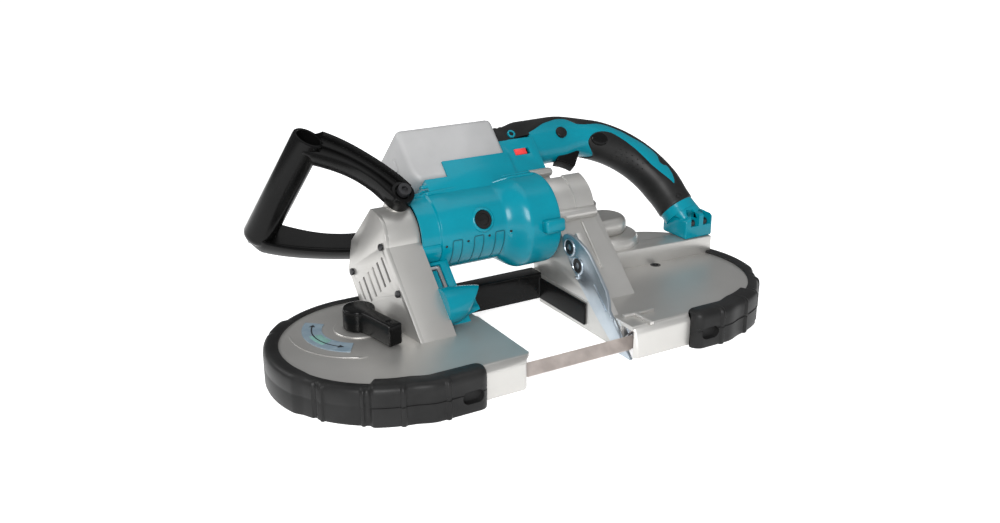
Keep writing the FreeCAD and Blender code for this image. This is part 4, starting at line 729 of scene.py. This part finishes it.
for step, turn in enumerate(cap_turns):
    way = barrel_out(cap_x, turn)
    seat = on_barrel(cap_x, turn)
    collar = turned("cap_collar.%d" % step, seat, way, [(-3.5, 9.7), (-3.5, 13.2), (-0.4, 12.8), (0.9, 11.8),
                                                        (1.3, 10.9), (1.0, 10.0), (-0.6, 9.7)], 64, True)
    dressed(collar, "motor_housing", teal)
    cap = turned("brush_cap.%d" % step, seat, way,
                 [(-5.0, 9.4), (0.1, 9.4), (0.6, 9.0), (0.6, 6.4), (-0.5, 6.0), (-0.5, 0.3)])
    across = way.cross(Vector((1, 0, 0)))
    slit = [seat - way * 1.6 + Vector((x, 0, 0)) + across * y
            for x, y in ((-4.2, -0.9), (4.2, -0.9), (4.2, 0.9), (-4.2, 0.9))]
    cap = hollowed(cap, cutting_slab("slit_cutter", slit, way * 6.0))
    dressed(shaded(cap, 30.0), "brush_caps", inner_black_and_shade, True)
boss_plan = [on_barrel(x, turn, -3.0) for x, turn in ((26.0, 29.0), (26.0, 47.0), (50.5, 47.0), (50.5, 29.0))]
boss = slab("barrel_boss", boss_plan, barrel_out(40.0, 38.0) * 13.0, 3.4, 3)
dressed(boss, "motor_housing", teal)

# Motor bracket and vent cover: a silver casting that stands on the idler deck and holds the motor's end,
# closed by a slotted cover with three screws. A bored boss on top takes the front handle's bolts.
cover_lean = math.tan(math.radians(11.0))
bracket = softened("motor_bracket", "motor_bracket_casting", 1.6, 3)
dressed(bracket, "motor_bracket", silver, True)
dressed(softened("vent_cover", "vent_cover_plate", 0.5), "vent_cover", silver, True)
# A black sheet just behind the vent cover's slots is painted shade: it darkens the slots as the shade inside
# them would.
painted_shade_plan = [leaned(-132.2 - (y - 22.0) * cover_lean, y, z)
              for y, z in ((34.0, 162.0), (96.0, 162.0), (96.0, 100.0), (34.0, 112.0))]
dressed(slab("vent_shade", painted_shade_plan, (1.0, 0, 0), 0.2), "vent_cover", inner_black_and_shade)

# Front handle: a black moulding in one piece, a thick round grip between two flat arms.
# The arms are grooved to save weight; each ends in an eye and is bolted to the bracket's boss.
grip_top = Vector((-187.0, 13.0, 274.0))
grip_low = Vector((-226.0, 111.0, 236.0))
eye = Vector((-111.3, 203.0))
arm_deep, groove_floor = 9.0, 4.8
grip_radius, grip_over = 16.0, 9.0
grip_way = (grip_top - grip_low).normalized()
grip_axis = leaned(*grip_way) - origin
grip_foot = grip_low - grip_way * grip_over
grip_length = (grip_top - grip_low).length + 2 * grip_over
grip_profile = [(0.0, 3.0), (0.6, 8.0), (2.2, 12.0), (5.0, 14.6), (9.0, grip_radius),
                (grip_length - 3.0, grip_radius), (grip_length - 0.8, 15.7), (grip_length, 14.9),
                (grip_length, 12.9), (grip_length - 0.6, 12.4), (grip_length - 24.0, 11.8),
                (grip_length - 24.0, 0.3)]
grip = turned("front_grip", leaned(*grip_foot), grip_axis, grip_profile, 72)
dressed(grip, "front_handle", black, True)


def handle_arm(name, end, bow, section, first, narrow):
    """One arm of the handle: a section of (across, out) swept from the grip to the eye along a bowed line."""
    start = Vector((end.x, end.z))
    run = eye - start
    across = Vector((-run.y, run.x)).normalized()
    rings = []
    for step in range(41):
        share = first + (1 - first) * step / 40
        middle = start + run * share + across * (4 * bow * share * (1 - share))
        slope = (run + across * (4 * bow * (1 - 2 * share))).normalized()
        side = Vector((-slope.y, slope.x))
        half = 15.0 - 3.4 * smooth_step(share, 0.0, 0.62) + 0.8 * smooth_step(share, 0.74, 0.9)
        half -= narrow * (1 - smooth_step(share, first, 0.07))
        ring = []
        for wide, out in section(half):
            spot = middle + side * wide
            ring.append(leaned(spot.x, end.y - out, spot.y))
        rings.append(ring)
    return skin(name, rings)


def grooved(half):
    """A flat bar with a rail along each edge and a low rib down its middle."""
    return [(-half, -arm_deep), (half, -arm_deep), (half, arm_deep), (half - 4.2, arm_deep),
            (half - 5.4, groove_floor), (1.9, groove_floor), (1.2, 7.4), (-1.2, 7.4), (-1.9, groove_floor),
            (-half + 5.4, groove_floor), (-half + 4.2, arm_deep), (-half, arm_deep)]


def edged(half):
    """A flat bar with a raised lower edge."""
    return [(-half, -arm_deep), (half, -arm_deep), (half, 6.0), (-half + 5.5, 6.0), (-half + 4.0, arm_deep),
            (-half, arm_deep)]


front_arm = handle_arm("front_arm", grip_top, 9.0, grooved, -0.02, 0.0)
bore_foot = leaned(*(grip_top - grip_way * 60.0))
front_arm = hollowed(front_arm, turned("grip_cutter", bore_foot, grip_axis, [(0.0, 14.0), (120.0, 14.0)], 72))
rear_arm = handle_arm("rear_arm", grip_low, -7.0, edged, -0.07, 7.0)
for arm in (front_arm, rear_arm):
    dressed(rounded(arm, 1.1, 2), "front_handle", black)
eye_profile = [(0.0, 4.2), (0.0, 12.0), (16.6, 12.0), (17.8, 11.4), (18.4, 10.2), (18.4, 8.4), (17.6, 7.8),
               (15.0, 7.6), (15.0, 4.2)]
for step, (y, way) in enumerate(((grip_top.y, 1), (grip_low.y, -1))):
    seat = leaned(eye.x, y + arm_deep * way, eye.y)
    ring = turned("handle_eye.%d" % step, seat, front_way * way, eye_profile, 64, True)
    dressed(ring, "front_handle", black)

# Lamp bracket and hex key: a teal moulding screwed beside the bracket. Its open scoop holds a small lamp
# that lights the cut, and a groove in its front face carries the bent steel key.
scoop_x, lamp_x, lamp_y, lamp_z = -101.0, -80.0, 38.5, 91.0
board = painted("board_green", finish(
    "board_lacquer", (0.01, 0.12, 0.04), (0.02, 0.20, 0.07), (0.2, 0.4), cloud=200.0))
lens = painted("clear_lens", finish(
    "lens_clear", (0.75, 0.80, 0.84), (0.85, 0.90, 0.93), (0.04, 0.10), cloud=60.0))
plate = softened("lamp_bracket", "lamp_bracket_plate", 1.0)
cone_plan = along_saw(0.0, ((-112.0, 60.0), (-50.0, 60.0), (-50.0, 126.0), (-112.0, 126.0)))
plate = hollowed(plate, cutting_slab("cone_cutter", cone_plan, front_way * -45.6))
dressed(shaded(plate), "lamp_bracket", teal, True)
scoop_rings = []
for share, radius, back in ((0.0, 19.0, 0.0), (0.3, 18.4, 0.0), (0.6, 17.2, 0.0), (0.85, 15.6, 0.0),
                            (0.97, 14.6, 0.0), (1.0, 14.0, 0.0), (1.0, 12.4, 0.4), (0.62, 11.8, 0.0),
                            (0.6, 0.5, 0.0)):
    ring = []
    for angle in full_turn(64):
        x = scoop_x + (33.5 + 11.5 * math.cos(angle)) * share - back
        ring.append(leaned(x, lamp_y - radius * math.sin(angle), lamp_z + radius * math.cos(angle)))
    scoop_rings.append(ring)
dressed(shaded(skin("lamp_scoop", scoop_rings), 40.0), "lamp_bracket", teal)
shelf_plan = across_saw(scoop_x, ((36.0, 159.0), (29.0, 152.0), (33.0, 146.5), (46.0, 142.0), (50.0, 150.0)))
dressed(slab("lamp_shelf", shelf_plan, (21.0, 0, 0), 1.4, 3), "lamp_bracket", teal)
lamp_seat = leaned(lamp_x, lamp_y, lamp_z)
lamp_disc = turned("lamp_disc", lamp_seat, (1, 0, 0), [(0.0, 10.5), (2.0, 10.5), (2.0, 0.4)], 40)
dressed(lamp_disc, "lamp_board", board, True)
glass_profile = [(0.0, 7.5), (2.0, 7.5), (3.2, 6.0), (3.8, 0.4)]
lamp_glass = turned("lamp_glass", lamp_seat + Vector((2.0, 0, 0)), (1, 0, 0), glass_profile, 40)
dressed(lamp_glass, "lamp_lens", lens, True)
dressed(softened("hex_key", "hex_key_bar", 0.4), "hex_key", steel, True)

# Gear housing and dome: silver castings. The case closes the motor's end, its leg leans down to the drive
# deck, and the stepped dome covers the intermediate gear.
dome_x, dome_y, dome_step = 146.0, 44.73, 64.0
tab_y, tab_z, band_bore = 36.0, 215.5, 30.0
casting = softened("gear_housing", "gear_housing_casting", 1.4, 3)
face_plan = across_saw(50.2, ((-10.0, 126.0), (29.4, 126.0), (29.4, 146.0), (16.0, 152.0), (10.0, 175.0),
                              (-10.0, 175.0)))
casting = hollowed(casting, cutting_slab("wall_cutter", face_plan, (13.0, 0, 0)))
dressed(shaded(casting), "gear_housing", silver, True)
dome_profile = [(0.0, 3.0), (0.0, 38.5), (24.0, 38.0), (28.0, 37.4), (31.0, 35.6), (32.6, 32.5), (33.0, 29.0),
                (33.0, 0.4)]
lower_dome = turned("gear_dome_lower", (dome_x, dome_y, deck_top - 1.0), (0, 0, 1), dome_profile, 96)
dressed(lower_dome, "gear_dome", silver, True)
upper_plan = [(133.0 + x, dome_y + y, dome_step) for x, y in stadium(13.0, 24.0, 24)]
dressed(slab("gear_dome_upper", upper_plan, (0, 0, 21.0), 8.5, 6), "gear_dome", silver)
tab_rings = []
for x, radius in ((50.5, 5.0), (76.0, 5.0), (78.5, 4.2), (80.0, 2.4), (80.4, 0.6)):
    tab_rings.append([leaned(x, tab_y + radius * math.cos(angle), tab_z + radius * math.sin(angle))
                      for angle in full_turn(24)])
dressed(shaded(skin("gear_case_tab", tab_rings), 50.0), "gear_housing", silver)
band_turns = [-34.0 + 148.0 * step / 48 for step in range(49)]
band_rings = []
for x, radius in ((80.5, 38.0), (81.2, 39.2), (103.2, 39.2), (104.2, 38.2), (104.2, band_bore)):
    band_rings.append([round_motor(x, radius, turn) for turn in band_turns]
                      + [round_motor(x, band_bore, turn) for turn in reversed(band_turns)])
dressed(shaded(skin("gear_case_band", band_rings), 40.0), "gear_housing", silver)
leg_plan = along_saw(30.0, ((84.0, 148.0), (87.0, 148.0), (87.0, 92.0), (84.0, 92.0)))
dressed(slab("gear_leg_rib", leg_plan, front_way * 1.4, 0.6), "gear_housing", silver)

# Battery base and battery: a teal moulding on top of the motor, with rails that the battery slides along.
# The battery is a bare pale grey block with chamfered edges and a push button at its free end.
# A red slide switch for the lamp sits in the front of the switch box.
cap_line = 262.0
upwards = leaned(0, 0, 1) - origin
pale = painted("battery_grey", finish("battery_grey", (0.34, 0.34, 0.342), (0.41, 0.41, 0.412), (0.40, 0.55)))
red = painted("red_plastic", finish(
    "red_moulding", (0.60, 0.030, 0.032), (0.75, 0.045, 0.045), (0.25, 0.4), cloud=60.0))
base = softened("battery_base", "battery_base_moulding", 2.0, 3)
above = [leaned(x, y, cap_line) for x, y in ((25.0, 20.0), (90.0, 20.0), (90.0, 100.0), (25.0, 100.0))]
base = hollowed(base, cutting_slab("cap_cutter", above, upwards * 40.0))
dressed(shaded(base), "battery_base", teal, True)
for name, start, end, radius in (("base_ridge_low", (-79.0, 24.6, 206.5), (50.0, 31.0, 216.0), 2.4),
                                 ("base_ridge_high", (-80.0, 26.0, 215.5), (-18.0, 26.0, 215.5), 1.8)):
    ridge_way = leaned(*end) - leaned(*start)
    reach = ridge_way.length
    ridge_profile = [(0.0, 0.3), (0.4, radius * 0.7), (1.4, radius), (reach - 1.4, radius),
                     (reach - 0.4, radius * 0.7), (reach, 0.3)]
    dressed(turned(name, leaned(*start), ridge_way, ridge_profile, 24), "battery_base", teal)
ring_boss = turned("screw_ring", leaned(52.0, 38.5, 268.5), front_way,
                   [(-2.0, 2.6), (-2.0, 4.6), (2.4, 4.6), (3.0, 4.1), (3.0, 3.1), (2.4, 2.6)], 40, True)
dressed(ring_boss, "battery_base", teal)
# The black disc down in the screw ring is painted shade in its hole.
ring_painted_shade = turned("screw_floor", leaned(52.0, 37.6, 268.5), front_way,
                    [(0.0, 2.9), (0.8, 2.9), (0.8, 0.3)], 32)
dressed(ring_painted_shade, "battery_base", inner_black_and_shade)
battery_plan = along_saw(26.5, ((-84.0, 236.0), (-78.0, 223.5), (23.0, 223.5), (29.0, 232.0), (29.0, 286.0),
                                (-84.0, 286.0)))
battery = slab("battery_case", battery_plan, front_way * -75.0, 6.0, 3)
dressed(battery, "battery_pack", pale, True)
dressed(softened("battery_release", "battery_button", 0.6), "battery_release", pale, True)
dressed(softened("lamp_switch", "lamp_switch_knob", 0.5), "lamp_switch", red, True)

# Rear handle: two teal shells round the switch, with black elastomer moulded over the top, the grip and,
# in ribs, the switch box. A trigger sits below, a round lock button at the front, and a flared foot is
# screwed to the casting.
handle_y, handle_radius = 62.0, 20.0
handle_start = Vector((76.0, 267.0))
handle_knee = Vector((124.0, 268.0))
grip_swell, box_rise = 1.4, 6.5
bend_radius = 110.0
hip_turn = math.radians(80.0)
climb = math.atan2(1.0, 48.0)
bend_middle = handle_knee + Vector((math.sin(climb), -math.cos(climb))) * bend_radius
straight_length = (handle_knee - handle_start).length
bend_length = bend_radius * (hip_turn + climb)
handle_length = straight_length + bend_length + 30.7
skin_rise, skin_sunk = 1.3, 0.8
seam, grip_end = 203.0, 224.0
cap_left, cap_length, cap_half, cap_top = 29.6, 47.0, 25.2, 284.0
foot_bottom, foot_floor = 54.0, 68.0
foot_front, foot_x, foot_y = -1.5, 245.0, 21.0
foot_screw_places, case_screws_end = (238.5, 256.0), 210.0
hole_at = (218.0, 106.0)


def handle_line(along):
    """The handle's middle line: place and outward direction, both in the upright saw's X and Z."""
    if along < straight_length:
        way = (handle_knee - handle_start).normalized()
        return handle_start + way * along, Vector((-way.y, way.x))
    turn = min(hip_turn, (along - straight_length) / bend_radius - climb)
    out = Vector((math.sin(turn), math.cos(turn)))
    over = max(0.0, along - straight_length - bend_length)
    return bend_middle + out * bend_radius + Vector((out.y, -out.x)) * over, out


def on_handle(along, degrees, proud=0.0):
    """A point of the handle's surface: degrees run from the outer side round by the front."""
    place, out = handle_line(along)
    angle = math.radians(degrees)
    swollen = smooth_step(along, 60.0, 100.0) * (1 - smooth_step(along, 190.0, 215.0))
    radius = handle_radius + proud + grip_swell * swollen
    spot = place + out * ((radius + box_rise * (1 - smooth_step(along, 40.0, 85.0))) * math.cos(angle))
    return leaned(spot.x, handle_y - radius * math.sin(angle), spot.y)


def line_value(table, place):
    """A value read off a smooth line through the (place, value) points of a table."""
    index = 0
    while index < len(table) - 2 and place > table[index + 1][0]:
        index += 1
    (start, low), (end, high) = table[index:index + 2]
    before, after = table[max(0, index - 1)], table[min(len(table) - 1, index + 2)]
    rise_in = (high - before[1]) / (end - before[0]) * (end - start)
    rise_out = (after[1] - low) / (after[0] - start) * (end - start)
    share = min(1.0, max(0.0, (place - start) / (end - start)))
    square, cube = share ** 2, share ** 3
    return ((2 * cube - 3 * square + 1) * low + (cube - 2 * square + share) * rise_in
            + (3 * square - 2 * cube) * high + (cube - square) * rise_out)


def overmould(name, start, end, edge, outer_side, rows, across, lead=0.0, fade_in=0.01, fade_out=0.01):
    """A raised skin of elastomer on the handle, inside an edge line: on its outer side or on all the rest."""
    lower, upper = [], []
    for row in range(rows + 1):
        along = start + (end - start) * row / rows
        half = line_value(edge, along)
        first, last = (-half, half) if outer_side else (half, 360.0 - half)
        ends = min(1.0, (along - start + 0.01) / fade_in, (end - along + 0.01) / fade_out)
        rise = skin_rise * math.sqrt(max(0.0, ends))
        for step in range(across + 1):
            share = step / across
            turn = first + (last - first) * share
            fade = 1.0 if last - first > 359.0 else math.sqrt(min(1.0, 14.0 * min(share, 1 - share)))
            there = along + lead * smooth_step(min(turn, 360.0 - turn), 130.0, 185.0) * (1 - row / rows)
            upper.append(on_handle(there, turn, rise * fade))
            lower.append(on_handle(there, turn, -skin_sunk))
    wide = across + 1
    under = len(upper)
    faces = []
    for row in range(rows):
        for corner in range(row * wide, row * wide + across):
            above = corner + wide
            faces.append((corner, corner + 1, above + 1, above))
            faces.append((under + corner, under + above, under + above + 1, under + corner + 1))
        for corner in (row * wide, row * wide + across):
            faces.append((corner, corner + wide, under + corner + wide, under + corner))
    for step in range(across):
        for corner in (step, rows * wide + step):
            faces.append((corner, corner + 1, under + corner + 1, under + corner))
    return shaded(solid(name, upper + lower, faces), 60.0)


elastomer = finish("black_elastomer", grey(0.009), grey(0.015), (0.34, 0.46),
                   cloud=30.0, fine=1300.0, grain=0.06, shine=0.18)
shell_rows, shell_steps = 150, 64
shell_rings = []
for row in range(shell_rows + 1):
    along = handle_length * row / shell_rows
    shell_rings.append([on_handle(along, 360.0 * step / shell_steps) for step in range(shell_steps)])
shell = skin("rear_handle_shell", shell_rings)
dressed(shaded(shell), "handle_shell_front", teal, True)
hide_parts("handle_shell_rear")
top_edge = [(-1.0, 84.0), (3.5, 82.0), (14.0, 73.0), (26.0, 61.0), (36.5, 55.0), (48.5, 49.0), (56.0, 52.0),
            (60.5, 63.0), (65.0, 73.0), (71.0, 75.0), (80.0, 71.0), (96.0, 58.0), (115.0, 60.0),
            (132.0, 65.0), (150.0, 58.0), (164.0, 62.0), (171.5, 82.0), (177.5, 81.0), (181.0, 69.0),
            (188.0, 73.0), (198.5, 85.0), (seam, 94.0)]
side_edge = [(78.0, 133.0), (79.5, 121.0), (84.5, 106.0), (93.5, 94.0), (105.5, 88.0), (114.5, 91.0),
             (126.5, 97.0), (140.0, 103.0), (155.0, 109.0), (167.0, 112.0), (180.5, 109.0), (191.0, 103.0),
             (198.5, 97.0), (seam, 94.0)]
no_edge = [(0.0, 0.0), (240.0, 0.0)]
top_skin = overmould("handle_top_skin", 0.2, seam, top_edge, True, 220, 40)
dressed(top_skin, "handle_grip", elastomer, True)
cap_rings = []
for step in range(49):
    x = cap_left + cap_length * step / 48
    wave = 0.9 * max(0.0, math.sin(2 * math.pi * (x - cap_left) / 7.5)) * (1 - smooth_step(x, 48.0, 56.0))
    ring = []
    for index in range(25):
        angle = math.pi * index / 24
        wide = cap_half * math.copysign(abs(math.cos(angle)) ** 0.45, math.cos(angle))
        high = cap_line - 0.5 + (cap_top + wave - cap_line) * math.sin(angle) ** 0.6
        handle_side = on_handle(0.0, 90.0 - math.degrees(angle), 1.35)
        blend = smooth_step(x, 40.0, 76.0)
        ring.append(leaned(x, handle_y - wide, high).lerp(Vector((x, handle_side.y, handle_side.z)), blend))
    cap_rings.append(ring)
dressed(shaded(skin("switch_box_cap", cap_rings), 45.0), "battery_base", elastomer)
side_skin = overmould("handle_side_skin", 78.5, seam, side_edge, False, 180, 64, lead=14.0, fade_in=2.0)
dressed(side_skin, "handle_grip", elastomer)
end_skin = overmould("handle_end_skin", seam - 0.5, grip_end, no_edge, False, 40, 72, fade_out=2.0)
dressed(end_skin, "handle_grip", elastomer)
pimple_profile = [(-0.7, 0.2), (-0.4, 0.75), (0.0, 0.95), (0.4, 0.75), (0.7, 0.2)]
pimple = turned("pimple_shape", (0, 0, 0), (0, 0, 1), pimple_profile, 16)
pimple_places = []
for row in range(4):
    for step in range(6 - row % 2):
        pimple_places.append(on_handle(120.0 + 8.6 * step + 4.3 * (row % 2), 114.0 + 13.0 * row, skin_rise))
dressed(repeated("grip_pimples", pimple, pimple_places, elastomer), "handle_grip", elastomer)
thumb_rings = []
for share, rise in ((1.0, 0.6), (0.96, 1.9), (0.8, 2.3), (0.5, 2.45), (0.02, 2.5)):
    ring = []
    for angle in full_turn(48):
        along = 92.5 + 11.5 * share * math.cos(angle)
        ring.append(on_handle(along, 120.0 + 19.0 * share * math.sin(angle), rise))
    thumb_rings.append(ring)
dressed(shaded(skin("thumb_pad", thumb_rings), 60.0), "handle_grip", black)
pocket_plan = [(-5.6, -12.0), (5.6, -12.0), (5.6, 8.0), (4.0, 11.0), (0.0, 12.4), (-4.0, 11.0), (-5.6, 8.0)]


def pocket_cutters(name):
    """Two pockets, open to the front and upwards, in which the foot's screws sit."""
    cutters = []
    for step, x in enumerate(foot_screw_places):
        plan = [(x + across, y, foot_floor) for across, y in pocket_plan]
        cutters.append(cutting_slab("%s_cutter.%d" % (name, step), plan, (0, 0, 17.0)))
    return cutters


foot_plan = [(x, foot_front, z) for x, z in ((225.5, foot_bottom), (264.5, foot_bottom), (264.5, 77.0),
                                             (260.0, 82.0), (240.0, 82.0), (225.5, 75.0))]
foot = hollowed(slab("handle_foot_block", foot_plan, (0, 41.0, 0), 2.4, 3), *pocket_cutters("foot"))
dressed(shaded(foot), "handle_foot", teal, True)
collar_half, collar_bottom = 18.6, 76.0
collar_rings = []
for share in (0.0, 0.12, 0.25, 0.4, 0.55, 0.7, 0.85, 1.0):
    ring = []
    for angle in full_turn(64):
        wide = math.copysign(abs(math.cos(angle)) ** 0.6, math.cos(angle))
        deep = math.copysign(abs(math.sin(angle)) ** 0.6, math.sin(angle))
        spread = Vector((foot_x + collar_half * wide, foot_y - collar_half * deep, collar_bottom))
        ring.append(on_handle(222.0 + 5.0 * share, math.degrees(angle), 0.3).lerp(spread, share ** 1.6))
    collar_rings.append(ring)
collar = hollowed(skin("foot_collar", collar_rings), *pocket_cutters("collar"))
dressed(shaded(collar, 40.0), "handle_foot", teal)
for step, x in enumerate(foot_screw_places):
    screw = turned("foot_screw.%d" % step, (x, 5.5, foot_floor), (0, 0, 1),
                   [(-2.0, 4.4), (4.6, 4.4), (5.4, 3.8), (5.4, 2.2), (2.6, 2.0), (2.6, 0.3)], 40)
    dressed(screw, "case_screws", dark_steel)
other_screws = softened("case_screws", "case_screw_heads", 0.3)
form = bmesh.new()
form.from_mesh(other_screws.data)
foot_corners = [corner for corner in form.verts if corner.co.x > case_screws_end * MM]
bmesh.ops.delete(form, geom=foot_corners, context="VERTS")
form.to_mesh(other_screws.data)
form.free()
dressed(other_screws, "case_screws", dark_steel, True)
# The near-black cup at the grip's end is painted shade in the hole there.
hole_way = on_handle(*hole_at, 1.0) - on_handle(*hole_at)
end_hole_shade = turned("grip_end_hole", on_handle(*hole_at, -1.0), hole_way,
                  [(0.0, 3.2), (2.7, 3.2), (2.7, 2.4), (1.2, 2.3), (1.2, 0.3)], 32)
dressed(end_hole_shade, "handle_grip", inner_black_and_shade)
trigger_plan = along_saw(55.0, ((121.0, 256.0), (141.0, 245.0), (126.0, 227.0), (121.0, 231.5),
                                (114.0, 235.5), (106.0, 238.0)))
trigger = slab("trigger_blade", trigger_plan, front_way * -14.0, 1.6, 3)
dressed(trigger, "trigger", black, True)
dressed(softened("lock_button", "lock_button_knob", 0.8), "lock_button", inner_black_and_shade, True)
